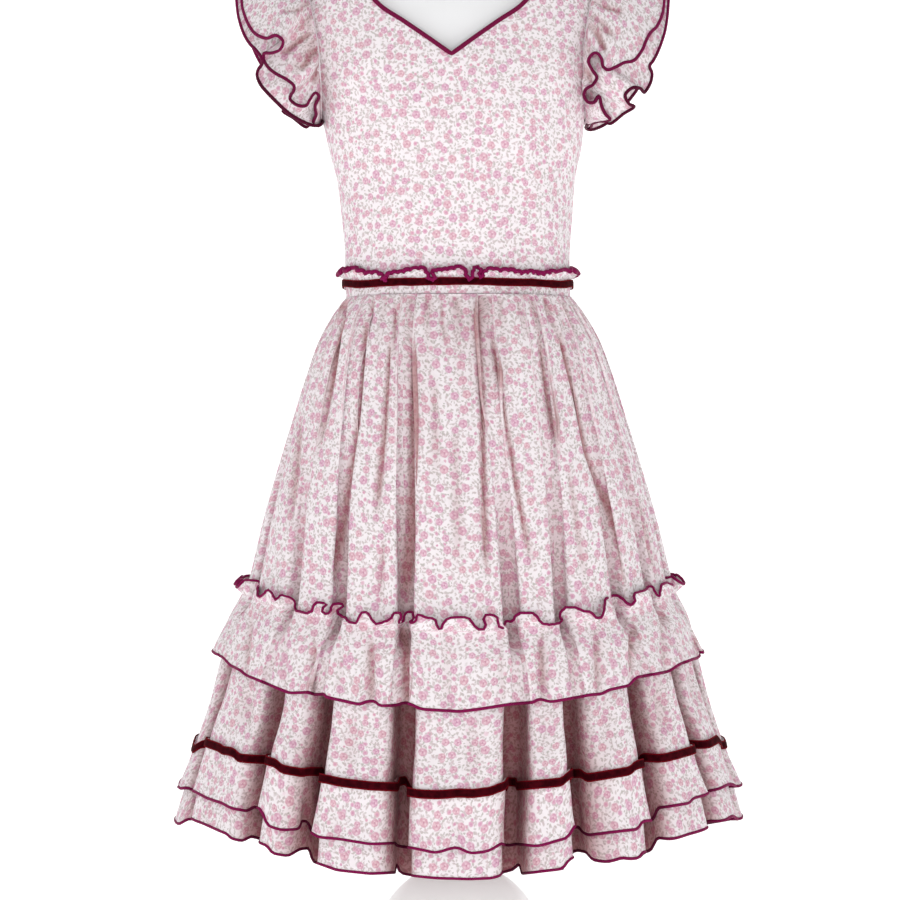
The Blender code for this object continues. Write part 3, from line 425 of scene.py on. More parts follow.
def shell(name, p, uv, mats, closed, thick=0.5, painted_shade=None):
    """Closed thin wall inward from the sheet p (rows, columns, 3); uv is the
    cloth's own place in metres, (rows, quads + 1, 2) or for each quad's corners."""
    r, n = p.shape[:2]
    c = n if closed else n - 1
    inner = p - thick * normals(p, closed)
    verts = np.concatenate([p.reshape(-1, 3), inner.reshape(-1, 3)])
    k0 = r * n
    i, j = np.meshgrid(np.arange(r - 1), np.arange(c), indexing="ij")
    k = (j + 1) % n
    quad = np.stack([i * n + j, (i + 1) * n + j, (i + 1) * n + k, i * n + k], -1)
    cloth = uv if uv.ndim == 4 else np.stack(
        [uv[i, j], uv[i + 1, j], uv[i + 1, j + 1], uv[i, j + 1]], -2)
    length = np.linalg.norm(np.diff(p, axis=1), axis=-1).sum(1).max()
    height = np.linalg.norm(np.diff(p, axis=0), axis=-1).sum(0).max()
    wide = max(1, int(round(math.sqrt(length / (2.0 * height)))))
    out_b = bands(r - 1, c, wide, 0.05, 0.525)
    in_b = bands(r - 1, c, wide, 0.525, 0.998)
    quads = [quad.reshape(-1, 4), (quad[..., ::-1] + k0).reshape(-1, 4)]
    cl = [cloth.reshape(-1, 4, 2), cloth[..., ::-1, :].reshape(-1, 4, 2)]
    bk = [out_b.reshape(-1, 4, 2), in_b[..., ::-1, :].reshape(-1, 4, 2)]
    mat = [np.zeros((r - 1) * c, int), np.full((r - 1) * c, 1 if len(mats) > 1 else 0)]
    jj = np.arange(c)
    kk = (jj + 1) % n
    b = (r - 1) * n
    for row, order, y in ((0, 0, 0.004), (r - 1, 1, 0.018)):
        o, q = row * n + jj, row * n + kk
        f = np.stack([o, q, q + k0, o + k0], -1) if order == 0 else \
            np.stack([q, o, o + k0, q + k0], -1)
        ua, ub = (cloth[0, :, 0], cloth[0, :, 3]) if order == 0 else \
            (cloth[-1, :, 1], cloth[-1, :, 2])
        shift = np.array([0.0, 0.0004])
        cu = np.stack([ua, ub, ub + shift, ua + shift], -2) if order == 0 else \
            np.stack([ub, ua, ua + shift, ub + shift], -2)
        xl, xr = 0.004 + 0.992 * jj / c, 0.004 + 0.992 * (jj + 1) / c
        lo, hi = np.full(c, y), np.full(c, y + 0.008)
        ba = [np.stack([xl, lo], -1), np.stack([xr, lo], -1),
              np.stack([xr, hi], -1), np.stack([xl, hi], -1)]
        if order:
            ba = [ba[1], ba[0], ba[3], ba[2]]
        quads.append(f)
        cl.append(cu)
        bk.append(np.stack(ba, -2))
        mat.append(np.zeros(c, int))
    if not closed:
        ii = np.arange(r - 1)
        for col, order, x in ((0, 0, 0.004), (n - 1, 1, 0.504)):
            a0, b0 = ii * n + col, (ii + 1) * n + col
            f = np.stack([b0, a0, a0 + k0, b0 + k0], -1) if order == 0 else \
                np.stack([a0, b0, b0 + k0, a0 + k0], -1)
            ua, ub = (cloth[:, 0, 0], cloth[:, 0, 1]) if order == 0 else \
                (cloth[:, -1, 3], cloth[:, -1, 2])
            shift = np.array([0.0004, 0.0])
            cu = np.stack([ub, ua, ua + shift, ub + shift], -2) if order == 0 else \
                np.stack([ua, ub, ub + shift, ua + shift], -2)
            xa, xb = x + 0.49 * ii / (r - 1), x + 0.49 * (ii + 1) / (r - 1)
            lo, hi = np.full(r - 1, 0.032), np.full(r - 1, 0.042)
            ba = [np.stack([xb, lo], -1), np.stack([xa, lo], -1),
                  np.stack([xa, hi], -1), np.stack([xb, hi], -1)]
            if order:
                ba = [ba[1], ba[0], ba[3], ba[2]]
            quads.append(f)
            cl.append(cu)
            bk.append(np.stack(ba, -2))
            mat.append(np.zeros(r - 1, int))
    return new_mesh(name, verts, np.concatenate(quads), None,
                    {"cloth": np.concatenate(cl), "OFBake": np.concatenate(bk)}, None,
                    mats, np.concatenate(mat), painted_shade=None if painted_shade is None else
                    np.concatenate([painted_shade.ravel(), painted_shade.ravel()]))


def tube(name, path, radius, mats, closed, sides=6, flat=1.0, up=None):
    """Cord of even thickness along points; flat widens it across the up vector."""
    path = np.asarray(path, float)
    m = len(path)
    if closed:
        t = unit(np.roll(path, -1, 0) - np.roll(path, 1, 0))
    else:
        t = unit(np.gradient(path, axis=0))
    frames = np.zeros((m, 3))
    v = np.array((0.0, 0.0, 1.0)) if up is None else np.asarray(up, float)
    v = v - t[0] * (v @ t[0])
    v /= np.linalg.norm(v)
    frames[0] = v
    for i in range(1, m):
        v = v - t[i] * (v @ t[i])
        v /= max(np.linalg.norm(v), 1e-9)
        frames[i] = v
    if closed:
        # turn evenly so that the two ends meet
        w = np.cross(t[0], frames[0])
        e = frames[-1] - t[0] * (frames[-1] @ t[0])
        twist = math.atan2(float(e @ w), float(e @ frames[0]))
        share = np.arange(m) / m
        a = -twist * share
        side = np.cross(t, frames)
        frames = frames * np.cos(a)[:, None] + side * np.sin(a)[:, None]
    side = np.cross(t, frames)
    ang = 2 * math.pi * np.arange(sides) / sides
    ring_pts = (path[:, None] + radius * flat * np.cos(ang)[None, :, None] * frames[:, None]
                + radius * np.sin(ang)[None, :, None] * side[:, None])
    verts = ring_pts.reshape(-1, 3)
    c = m if closed else m - 1
    i, s = np.meshgrid(np.arange(c), np.arange(sides), indexing="ij")
    i2, s2 = (i + 1) % m, (s + 1) % sides
    quad = np.stack([i * sides + s, i2 * sides + s, i2 * sides + s2, i * sides + s2], -1)
    quad = quad[..., ::-1]
    run = np.concatenate([[0.0], np.cumsum(np.linalg.norm(
        np.diff(np.concatenate([path, path[:1]]) if closed else path, axis=0), axis=1))]) * MM
    girth = 2 * math.pi * radius * MM * np.arange(sides + 1) / sides
    cl = np.zeros(quad.shape + (2,))
    a, b = run[i], run[i + 1]
    g0, g1 = girth[s], girth[s + 1]
    for corner, (uu, vv) in enumerate(((a, g1), (b, g1), (b, g0), (a, g0))):
        cl[..., corner, 0], cl[..., corner, 1] = uu, vv
    wide = max(1, int(round(math.sqrt(run[-1] / (girth[-1])) * 0.9)))
    wide = min(wide, max(1, c // 4))
    bk = bands(sides, c, wide, 0.03, 0.998).transpose(1, 0, 2, 3)
    bk = np.stack([bk[..., 1, :], bk[..., 2, :], bk[..., 3, :], bk[..., 0, :]], -2)
    tris = tri_uv = None
    if not closed:
        ends = []
        fans, tu, tb = [], [], []
        for e, (row, flip) in enumerate(((0, False), (m - 1, True))):
            base = len(verts)
            verts = np.concatenate([verts, path[row][None]])
            for q in range(sides):
                f = [row * sides + q, row * sides + (q + 1) % sides, base]
                a0, a1 = ang[q], ang[q] + 2 * math.pi / sides
                cc = [[math.cos(a0), math.sin(a0)], [math.cos(a1), math.sin(a1)], [0, 0]]
                if flip:
                    f, cc = [f[1], f[0], f[2]], [cc[1], cc[0], cc[2]]
                fans.append(f)
                tu.append(np.array(cc) * radius * MM)
                tb.append(np.array([0.02 + 0.04 * e, 0.015]) + 0.012 * np.array(cc))
        tris, tri_uv = np.array(fans), {"cloth": np.array(tu), "OFBake": np.array(tb)}
    return new_mesh(name, verts, quad.reshape(-1, 4), tris,
                    {"cloth": cl.reshape(-1, 4, 2), "OFBake": bk.reshape(-1, 4, 2)},
                    tri_uv, mats, smooth=70.0)


def turned(name, profile, mats, sides=128, centre=(0.0, 0.0), smooth=35.0):
    """Solid of revolution; the profile (r, z) starts and ends on the axis, or
    closes on itself."""
    prof = np.asarray(profile, float)
    on_axis = prof[0, 0] < 1e-6
    ang = 2 * math.pi * np.arange(sides) / sides
    body = prof[1:-1] if on_axis else prof
    r = len(body)
    pts = np.stack([centre[0] + body[:, :1] * np.sin(ang), centre[1] - body[:, :1] * np.cos(ang),
                    np.repeat(body[:, 1:], sides, 1)], -1)
    verts = pts.reshape(-1, 3)
    rows = r - 1 if on_axis else r
    i, j = np.meshgrid(np.arange(rows), np.arange(sides), indexing="ij")
    i2, k = (i + 1) % r, (j + 1) % sides
    quad = np.stack([i * sides + j, i * sides + k, i2 * sides + k, i2 * sides + j], -1)
    run = np.concatenate([[0.0], np.cumsum(np.linalg.norm(np.diff(
        np.concatenate([body, body[:1]]), axis=0), axis=1))]) * MM
    arc = body[:, 0].max() * 2 * math.pi * MM / sides
    cl = np.stack([np.stack([j * arc, run[i]], -1), np.stack([(j + 1) * arc, run[i]], -1),
                   np.stack([(j + 1) * arc, run[i + 1]], -1), np.stack([j * arc, run[i + 1]], -1)], -2)
    wide = max(1, int(round(math.sqrt(body[:, 0].max() * 6.28 / max(run[-1] / MM, 1)))))
    bk = bands(rows, sides, wide, 0.3, 0.998)
    bk = np.stack([bk[..., 0, :], bk[..., 3, :], bk[..., 2, :], bk[..., 1, :]], -2)
    tris = tri_uv = None
    if on_axis:
        fans, tu, tb = [], [], []
        for e, (row, z) in enumerate(((0, prof[0, 1]), (r - 1, prof[-1, 1]))):
            base = len(verts)
            verts = np.concatenate([verts, [[centre[0], centre[1], z]]])
            rr = body[row, 0] * MM
            for q in range(sides):
                a0, a1 = ang[q], ang[q] + 2 * math.pi / sides
                f = [row * sides + q, row * sides + (q + 1) % sides, base]
                cc = [[math.sin(a0), -math.cos(a0)], [math.sin(a1), -math.cos(a1)], [0, 0]]
                if e == 0:
                    f, cc = [f[1], f[0], f[2]], [cc[1], cc[0], cc[2]]
                fans.append(f)
                tu.append(np.array(cc) * rr)
                tb.append(np.array([0.15 + 0.3 * e, 0.15]) + 0.13 * np.array(cc))
        tris, tri_uv = np.array(fans), {"cloth": np.array(tu), "OFBake": np.array(tb)}
    return new_mesh(name, verts, quad.reshape(-1, 4), tris,
                    {"cloth": cl.reshape(-1, 4, 2), "OFBake": bk.reshape(-1, 4, 2)},
                    tri_uv, mats, smooth=smooth)


def outward_faces(ob):
    """Makes a closed piece's faces look outward."""
    bm = bmesh.new()
    bm.from_mesh(ob.data)
    bmesh.ops.recalc_face_normals(bm, faces=bm.faces)
    bm.to_mesh(ob.data)
    bm.free()
    return ob


def patch_shell(name, verts, quads, uv, bake, mats, thick=0.5, painted_shade=None):
    """Closed thin wall inward from any sheet of quads; uv is per vertex, bake is
    (faces, 4, 2) in the lower half and is repeated above it for the inside."""
    verts = np.asarray(verts, float)
    quads = np.asarray(quads)
    fn = np.cross(verts[quads[:, 2]] - verts[quads[:, 0]],
                  verts[quads[:, 3]] - verts[quads[:, 1]])
    vn = np.zeros_like(verts)
    for c in range(4):
        np.add.at(vn, quads[:, c], fn)
    inner = verts - thick * unit(vn)
    k0 = len(verts)
    a = quads.ravel()
    b = np.roll(quads, -1, 1).ravel()
    key, back = a * k0 + b, b * k0 + a
    edge = ~np.isin(key, back)
    ea, eb = a[edge], b[edge]
    rim = np.stack([eb, ea, ea + k0, eb + k0], -1)
    e = len(rim)
    xl = 0.004 + 0.992 * np.arange(e) / e
    xr = xl + 0.992 / e
    lo, hi = np.full(e, 0.006), np.full(e, 0.018)
    rb = np.stack([np.stack([xl, lo], -1), np.stack([xr, lo], -1),
                   np.stack([xr, hi], -1), np.stack([xl, hi], -1)], -2)
    shift = np.array([0.0004, 0.0004])
    rc = np.stack([uv[eb], uv[ea], uv[ea] + shift, uv[eb] + shift], -2)
    inside = bake + np.array([0.0, 0.48])
    return new_mesh(
        name, np.concatenate([verts, inner]),
        np.concatenate([quads, quads[:, ::-1] + k0, rim]), None,
        {"cloth": np.concatenate([uv[quads], uv[quads[:, ::-1]], rc]),
         "OFBake": np.concatenate([bake, inside[:, ::-1], rb])}, None, mats,
        np.concatenate([np.zeros(len(quads), int),
                        np.full(len(quads), 1 if len(mats) > 1 else 0),
                        np.zeros(e, int)]),
        painted_shade=None if painted_shade is None else np.concatenate([painted_shade, painted_shade]))


# ------------------------------------------------------------------ materials
def lin(r, g, b):
    """Linear colour of an 8-bit screen colour."""
    return tuple(((v / 255.0) / 12.92 if v / 255.0 <= 0.04045
                  else ((v / 255.0 + 0.055) / 1.055) ** 2.4) for v in (r, g, b)) + (1.0,)


class Net:
    """Short names for the nodes of one tree."""

    def __init__(self, tree):
        self.t = tree

    def node(self, kind, **sets):
        n = self.t.nodes.new(kind)
        for k, v in sets.items():
            setattr(n, k, v)
        return n

    def put(self, socket, value):
        if isinstance(value, bpy.types.NodeSocket):
            self.t.links.new(value, socket)
        else:
            socket.default_value = value

    def math(self, op, a, b=0.0, c=0.0):
        n = self.node("ShaderNodeMath", operation=op)
        for s, v in zip(n.inputs, (a, b, c)):
            self.put(s, v)
        return n.outputs[0]

    def add(self, a, b):
        return self.math("ADD", a, b)

    def mul(self, a, b):
        return self.math("MULTIPLY", a, b)

    def step(self, x, a, b, lo=0.0, hi=1.0):
        """lo below a, hi above b, smooth between."""
        n = self.node("ShaderNodeMapRange", interpolation_type="SMOOTHSTEP")
        self.put(n.inputs["Value"], x)
        for k, v in (("From Min", a), ("From Max", b), ("To Min", lo), ("To Max", hi)):
            self.put(n.inputs[k], v)
        return n.outputs["Result"]

    def mix(self, f, a, b):
        n = self.node("ShaderNodeMix", data_type="RGBA")
        self.put(n.inputs[0], f)
        self.put(n.inputs[6], a)
        self.put(n.inputs[7], b)
        return n.outputs[2]

    def vec(self, op, a, b=None, scale=None):
        n = self.node("ShaderNodeVectorMath", operation=op)
        self.put(n.inputs[0], a)
        if b is not None:
            self.put(n.inputs[1], b)
        if scale is not None:
            self.put(n.inputs["Scale"], scale)
        return n.outputs["Value" if op in ("LENGTH", "DOT_PRODUCT") else "Vector"]

    def split(self, v):
        n = self.node("ShaderNodeSeparateXYZ")
        self.put(n.inputs[0], v)
        return n.outputs

    def uv(self, name="cloth"):
        return self.node("ShaderNodeUVMap", uv_map=name).outputs[0]

    def bump(self, height, strength, distance, normal=None):
        n = self.node("ShaderNodeBump")
        self.put(n.inputs["Height"], height)
        n.inputs["Strength"].default_value = strength
        n.inputs["Distance"].default_value = distance
        if normal is not None:
            self.put(n.inputs["Normal"], normal)
        return n.outputs[0]


def blank(name, **sockets):
    m = bpy.data.materials.new(name)
    m.use_nodes = True
    net = Net(m.node_tree)
    shader = m.node_tree.nodes["Principled BSDF"]
    for k, v in sockets.items():
        shader.inputs[k.replace("_", " ")].default_value = v
    return m, net, shader


def motif_cells(net, mm, cell, shift, rnd):
    """Scattered places: local x and y in mm, turned by chance, distance and
    three chance numbers."""
    v = net.vec("ADD", mm, shift)
    v = net.vec("SCALE", v, scale=1.0 / cell)
    vor = net.node("ShaderNodeTexVoronoi", voronoi_dimensions="2D", feature="F1")
    net.put(vor.inputs["Vector"], v)
    vor.inputs["Scale"].default_value = 1.0
    vor.inputs["Randomness"].default_value = rnd
    local = net.vec("SCALE", net.vec("SUBTRACT", v, vor.outputs["Position"]), scale=cell)
    col = net.split(vor.outputs["Color"])
    turn = net.mul(col[0], 2 * math.pi)
    x, y, _ = net.split(local)
    c, s = net.math("COSINE", turn), net.math("SINE", turn)
    lx = net.add(net.mul(x, c), net.mul(y, s))
    ly = net.math("SUBTRACT", net.mul(y, c), net.mul(x, s))
    d = net.math("MULTIPLY", vor.outputs["Distance"], cell)
    return lx, ly, d, col[0], col[1], col[2]


def ellipse(net, x, y, half_x, half_y, soft=0.38):
    """1 inside an ellipse, 0 outside it."""
    a = net.math("DIVIDE", x, half_x)
    b = net.math("DIVIDE", y, half_y)
    r = net.math("SQRT", net.add(net.mul(a, a), net.mul(b, b)))
    return net.step(r, 1.0 - soft, 1.0 + soft, 1.0, 0.0)


ROSE = dict(cell=14.4, low=2.9, high=4.3)


def print_colour(net, mm):
    """Small roses, buds and leaves on an off-white ground."""
    ground = lin(244, 237, 240)
    # little leaves and stems, two sizes
    out = ground
    leaf_a, leaf_b = lin(188, 181, 176), lin(208, 190, 193)
    masks = []
    for cell, shift, hx, hy, bend in ((4.1, (3.1, 7.7, 0), 1.3, 0.62, 0.16),
                                      (5.0, (41.3, 17.9, 0), 1.7, 0.82, -0.12),
                                      (6.4, (63.1, 31.9, 0), 2.0, 1.05, 0.05)):
        lx, ly, d, r, g, b = motif_cells(net, mm, cell, shift, 0.9)
        yy = net.math("SUBTRACT", ly, net.mul(net.mul(lx, lx), bend))
        e = ellipse(net, lx, yy, net.add(hx * 0.75, net.mul(g, hx * 0.5)), hy)
        e = net.mul(e, net.step(b, 0.12, 0.22))
        tint = net.mix(g, leaf_a, leaf_b)
        masks.append(e)
        out = net.mix(net.mul(e, net.add(0.62, net.mul(r, 0.36))), out, tint)
    # buds
    lx, ly, d, r, g, b = motif_cells(net, mm, 8.6, (23.7, 61.1, 0), 0.9)
    rad = net.add(1.2, net.mul(g, 1.5))
    bud = net.math("DIVIDE", d, rad)
    m = net.mul(net.step(bud, 0.7, 1.2, 1.0, 0.0), net.step(b, 0.42, 0.52))
    pink = net.mix(r, lin(220, 176, 197), lin(225, 184, 193))
    pink = net.mix(net.step(bud, 0.1, 0.7), lin(212, 152, 180), pink)
    pink = net.mix(net.mul(net.step(bud, 0.6, 1.0), 0.5), pink, lin(210, 152, 178))
    out = net.mix(m, out, pink)
    # roses
    lx, ly, d, r, g, b = motif_cells(net, mm, ROSE["cell"], (11.3, 5.9, 0), 0.7)
    turn = net.math("ARCTAN2", ly, lx)
    rad = net.add(ROSE["low"], net.mul(g, ROSE["high"] - ROSE["low"]))
    wavy = net.math("SINE", net.add(net.mul(turn, 5.0), net.mul(b, 12.0)))
    rad = net.mul(rad, net.add(1.0, net.mul(wavy, 0.04)))
    t = net.math("DIVIDE", d, rad)
    # a pale halo keeps the leaves off the petals; two leaves beside each rose
    halo = net.step(t, 1.02, 1.22, 1.0, 0.0)
    out = net.mix(net.mul(halo, 0.65), out, ground)
    side = net.math("SUBTRACT", net.math("ABSOLUTE", lx), net.add(rad, 0.9))
    le = ellipse(net, side, net.math("SUBTRACT", ly, net.mul(lx, 0.22)), 1.7, 0.85)
    out = net.mix(net.mul(le, 0.8), out, net.mix(b, leaf_a, leaf_b))
    cool = net.mix(b, lin(219, 171, 195), lin(222, 178, 189))
    deep = net.mix(b, lin(196, 137, 167), lin(201, 144, 161))
    pale = net.mix(b, lin(234, 203, 218), lin(236, 208, 214))
    swirl = net.math("SINE", net.add(net.add(net.mul(turn, 1.0), net.mul(t, 10.5)),
                                     net.mul(r, 6.0)))
    arcs = net.mul(net.step(swirl, 0.1, 0.95), net.step(t, 1.0, 0.75))
    petal = net.math("SINE", net.add(net.mul(turn, 3.0), net.mul(g, 9.0)))
    rose = net.mix(net.step(petal, -0.6, 0.9), cool, pale)
    rose = net.mix(net.mul(arcs, 0.42), rose, deep)
    rose = net.mix(net.step(t, 0.32, 0.08), rose, deep)
    rose = net.mix(net.mul(net.step(t, 0.5, 0.95), 0.45), rose, deep)
    out = net.mix(net.step(t, 0.84, 1.16, 1.0, 0.0), out, rose)
    return out


def printed(name, reverse=False):
    m, net, shader = blank(name, Roughness=0.86, Sheen_Weight=0.04, Sheen_Roughness=0.5,
                           Specular_IOR_Level=0.25)
    uv = net.uv()
    mm = net.vec("SCALE", uv, scale=1000.0)
    wob = net.node("ShaderNodeTexNoise", noise_dimensions="2D")
    net.put(wob.inputs["Vector"], mm)
    wob.inputs["Scale"].default_value = 0.55
    wob.inputs["Detail"].default_value = 1.0
    soft = net.vec("SCALE", net.vec("SUBTRACT", wob.outputs["Color"], (0.5, 0.5, 0.5)),
                   scale=0.9)
    col = print_colour(net, net.vec("ADD", mm, soft))
    x, y, _ = net.split(mm)
    k = 2 * math.pi / 0.62
    weave = net.mul(net.math("SINE", net.mul(x, k)), net.math("SINE", net.mul(y, k)))
    if reverse:
        col = net.mix(0.42, col, lin(247, 234, 236))
    # threads a little lighter and darker
    col = net.mix(net.step(weave, -1.0, 1.0, 0.05, 0.0), col, lin(190, 160, 166))
    # painted shade: deep places are darkened and reddened in the colour itself, for the shade there
    # and the light that reaches them only off the print
    deep = net.node("ShaderNodeAttribute", attribute_name="painted_shade")
    col = net.mix(deep.outputs["Fac"], col, net.vec("MULTIPLY", col, (0.50, 0.27, 0.27)))
    net.put(shader.inputs["Base Color"], col)
    crush = net.node("ShaderNodeTexNoise", noise_dimensions="2D")
    net.put(crush.inputs["Vector"], mm)
    crush.inputs["Scale"].default_value = 0.085
    crush.inputs["Detail"].default_value = 4.0
    crush.inputs["Roughness"].default_value = 0.55
    n1 = net.bump(crush.outputs["Fac"], 0.32, 0.004)
    n2 = net.bump(weave, 0.12, 0.0002, n1)
    net.put(shader.inputs["Normal"], n2)
    return m


def thread_material(name, colour, dark, pitch):
    """Overlock thread or binding: short slanted stitches along the length; a painted shade attribute
    darkens it where it lies in shade.
    """
    m, net, shader = blank(name, Roughness=0.6, Sheen_Weight=0.0,
                           Specular_IOR_Level=0.12)
    mm = net.vec("SCALE", net.uv(), scale=1000.0)
    x, y, _ = net.split(mm)
    s = net.math("SINE", net.mul(net.add(x, net.mul(y, 0.35)), 2 * math.pi / pitch))
    no = net.node("ShaderNodeTexNoise", noise_dimensions="2D")
    net.put(no.inputs["Vector"], mm)
    no.inputs["Scale"].default_value = 1.1
    f = net.step(net.add(s, net.mul(no.outputs["Fac"], 0.8)), -0.9, 1.3)
    col = net.mix(f, dark, colour)
    # painted shade: the cord's colour is darkened where the attribute marks shade
    deep = net.node("ShaderNodeAttribute", attribute_name="painted_shade")
    col = net.mix(deep.outputs["Fac"], col, net.vec("MULTIPLY", col, (0.34, 0.24, 0.28)))
    net.put(shader.inputs["Base Color"], col)
    net.put(shader.inputs["Normal"], net.bump(s, 0.5, 0.0003))
    return m


def velvet_material(name, width):
    """Pile with a redder, flatter woven edge on both sides; the redder edge colour is partly the woven
    edge and partly a painted sheen where the edges catch the light.
    """
    m, net, shader = blank(name, Roughness=0.9, Sheen_Weight=0.12, Sheen_Roughness=0.3,
                           Specular_IOR_Level=0.05)
    shader.inputs["Sheen Tint"].default_value = lin(150, 30, 45)
    mm = net.vec("SCALE", net.uv(), scale=1000.0)
    x, y, _ = net.split(mm)
    off = net.math("ABSOLUTE", net.math("SUBTRACT", y, width / 2.0))
    edge = net.step(off, width / 2.0 - 1.5, width / 2.0 - 0.7)
    no = net.node("ShaderNodeTexNoise", noise_dimensions="2D")
    net.put(no.inputs["Vector"], mm)
    no.inputs["Scale"].default_value = 0.16
    no.inputs["Detail"].default_value = 5.0
    pile = net.mix(net.step(no.outputs["Fac"], 0.35, 0.7), lin(44, 0, 6), lin(66, 3, 14))
    cord = net.math("SINE", net.mul(x, 2 * math.pi / 0.9))
    # redder edges: partly the ribbon's woven edge, partly painted sheen
    rim = net.mix(net.step(cord, -1.0, 1.0), lin(96, 8, 20), lin(124, 16, 28))
    net.put(shader.inputs["Base Color"], net.mix(edge, pile, rim))
    fine = net.node("ShaderNodeTexNoise", noise_dimensions="2D")
    net.put(fine.inputs["Vector"], mm)
    fine.inputs["Scale"].default_value = 3.0
    net.put(shader.inputs["Normal"], net.bump(
        net.add(net.mul(fine.outputs["Fac"], 0.7), net.mul(cord, net.mul(edge, 0.4))),
        0.4, 0.0003))
    return m


def plain(name, colour, rough, metal=0.0, grain=0.0, grain_scale=900.0, spread=0.04,
          coat=0.0, alpha=1.0, painted_glow=0.0):
    """Smooth hard surface with a fine grain and slight colour variation; a glow setting makes it give
    off a little light of its own, a painted glow.
    """
    m, net, shader = blank(name, Roughness=rough, Metallic=metal, Coat_Weight=coat,
                           Alpha=alpha, Emission_Strength=painted_glow)
    g = net.node("ShaderNodeNewGeometry")
    no = net.node("ShaderNodeTexNoise", noise_dimensions="3D")
    net.put(no.inputs["Vector"], g.outputs["Position"])
    no.inputs["Scale"].default_value = 14.0
    no.inputs["Detail"].default_value = 3.0
    dark = tuple(c * (1 - spread * 2) for c in colour[:3]) + (1.0,)
    net.put(shader.inputs["Base Color"],
            net.mix(net.step(no.outputs["Fac"], 0.3, 0.7), dark, colour))
    fine = net.node("ShaderNodeTexNoise", noise_dimensions="3D")
    net.put(fine.inputs["Vector"], g.outputs["Position"])
    fine.inputs["Scale"].default_value = grain_scale
    fine.inputs["Detail"].default_value = 2.0
    net.put(shader.inputs["Normal"], net.bump(fine.outputs["Fac"], grain, 0.0004))
    return m


PRINT = printed("print_face")
WRONG = printed("print_reverse", True)
PLUM = thread_material("plum_overlock", lin(150, 14, 88), lin(92, 3, 48), 1.1)
BIND = thread_material("plum_binding", lin(128, 14, 70), lin(104, 8, 54), 0.7)
VELVET = velvet_material("velvet", VELVET_W)
WHITE = plain("form_white", lin(246, 246, 247), 0.5, grain=0.12, grain_scale=700.0,
              spread=0.01)
CAP = plain("form_cap", lin(244, 244, 245), 0.35, grain=0.05, spread=0.01)
TUBE = plain("pole_grey", lin(214, 215, 218), 0.3, metal=0.0, grain=0.03, coat=0.3)
# painted glow: the dome gives off a little light of its own, so that it looks lit in the shade under
# the hem
FROST_AND_PAINTED_GLOW = plain("dome_frosted_painted_glow", lin(246, 247, 246), 0.42, grain=0.1, grain_scale=500.0,
              spread=0.01, painted_glow=0.25)
PLATE = plain("plate_powder", lin(236, 236, 237), 0.5, grain=0.35, grain_scale=1600.0,
              spread=0.01)
SOCKET = plain("socket_grey", lin(214, 214, 216), 0.4, grain=0.05)
LACQUER = plain("zip_lacquer", lin(112, 16, 66), 0.32, grain=0.06, coat=0.4)
TAPE = plain("zip_tape_weave", lin(226, 206, 210), 0.8, grain=0.5, grain_scale=2500.0)

# ------------------------------------------------------------------ the pieces
N = 840
BASIS = spline_basis(N)
ROUND = np.arange(N) / N


def ride(ob, slot_name, *nodes):
    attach(ob, BODY_NAME)
    if nodes:
        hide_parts(*nodes)
    return ob


def rows_of(levels, grow=0.0, shallower=0.0, narrower=0.0, basis=None):
    ctrl = ring(levels, grow, shallower, narrower)
    return np.einsum("nk,rkc->rnc", BASIS if basis is None else basis, ctrl)


def push(p, amount):
    return p + outward(p) * amount[..., None]


def lobe_cloth(p, start=0.0, above=()):
    """The sheet laid flat for each quad's corners, in metres: every lobe is true,
    and what the folds take up more in one row than in another is lost where two
    lobes meet, at the floor between them.  above adds rows over the first."""
    rows, n = p.shape[:2]
    env, r = envelope(p[-1], 14.0)
    calm = blur_cols((env - r)[None], 3.0)[0]
    peak = (calm > np.roll(calm, 1)) & (calm >= np.roll(calm, -1)) & (calm > 4.0)
    marks = []
    for c in np.argsort(-calm):
        if peak[c] and all(min(abs(c - m), n - abs(c - m)) > 9 for m in marks):
            marks.append(int(c))
    marks = sorted(marks)
    q = np.roll(p, -marks[0], 1)
    q = np.concatenate([q, q[:, :1]], 1)
    run = np.concatenate([np.zeros((rows, 1)), np.cumsum(
        np.linalg.norm(np.diff(q, axis=1), axis=-1), 1)], 1)
    wide = run[:, -1].mean()
    left, right = np.zeros((rows, n)), np.zeros((rows, n))
    edge = [m - marks[0] for m in marks] + [n]
    for a, b in zip(edge[:-1], edge[1:]):
        c = (a + b) // 2
        u = (run[:, c] / run[:, -1]).mean() * wide + run[:, a:b + 1] - run[:, c:c + 1]
        left[:, a:b], right[:, a:b] = u[:, :-1], u[:, 1:]
    left, right = np.roll(left, marks[0], 1), np.roll(right, marks[0], 1)
    drop = np.concatenate([[0.0], np.cumsum(
        np.linalg.norm(np.diff(p, axis=0), axis=-1).mean(1))])
    v = drop[-1] - drop
    if len(above):
        v = np.concatenate([v[0] + np.asarray(above, float), v])
        left = np.concatenate([np.repeat(left[:1], len(above), 0), left])
        right = np.concatenate([np.repeat(right[:1], len(above), 0), right])
    v = np.repeat(v[:, None], n, 1)
    u = np.stack([left[:-1], left[1:], right[1:], right[:-1]], -1) + start * 1000.0
    v = np.stack([v[:-1], v[1:], v[1:], v[:-1]], -1) + start * 370.0
    return np.stack([u, v], -1) * MM


def on_lines(p, lines, back=False, slim=1.0):
    """Sum of soft troughs along seen lines: (points, depth, half width, width at
    the foot).  Fades out at a line's two ends."""
    px, py, _ = seen(p, back)
    toward = fade(-p[..., 1] if not back else p[..., 1], -20.0, 40.0)
    out = np.zeros(px.shape)
    for pts, depth, w0, w1 in lines:
        xs = np.array([q[0] for q in pts])
        ys = np.array([q[1] for q in pts])
        if back:
            xs = 900.0 - xs
        x = np.interp(py, ys, xs)
        t = np.clip((py - ys[0]) / (ys[-1] - ys[0]), 0, 1)
        w = (w0 + (w1 - w0) * t) * slim
        ends = np.minimum(fade(py, ys[0] - 14.0, ys[0] + 16.0),
                          fade(py, ys[-1] + 22.0, ys[-1] - 30.0))
        out -= depth * np.exp(-((px - x) / w) ** 2) * ends * toward
    return out


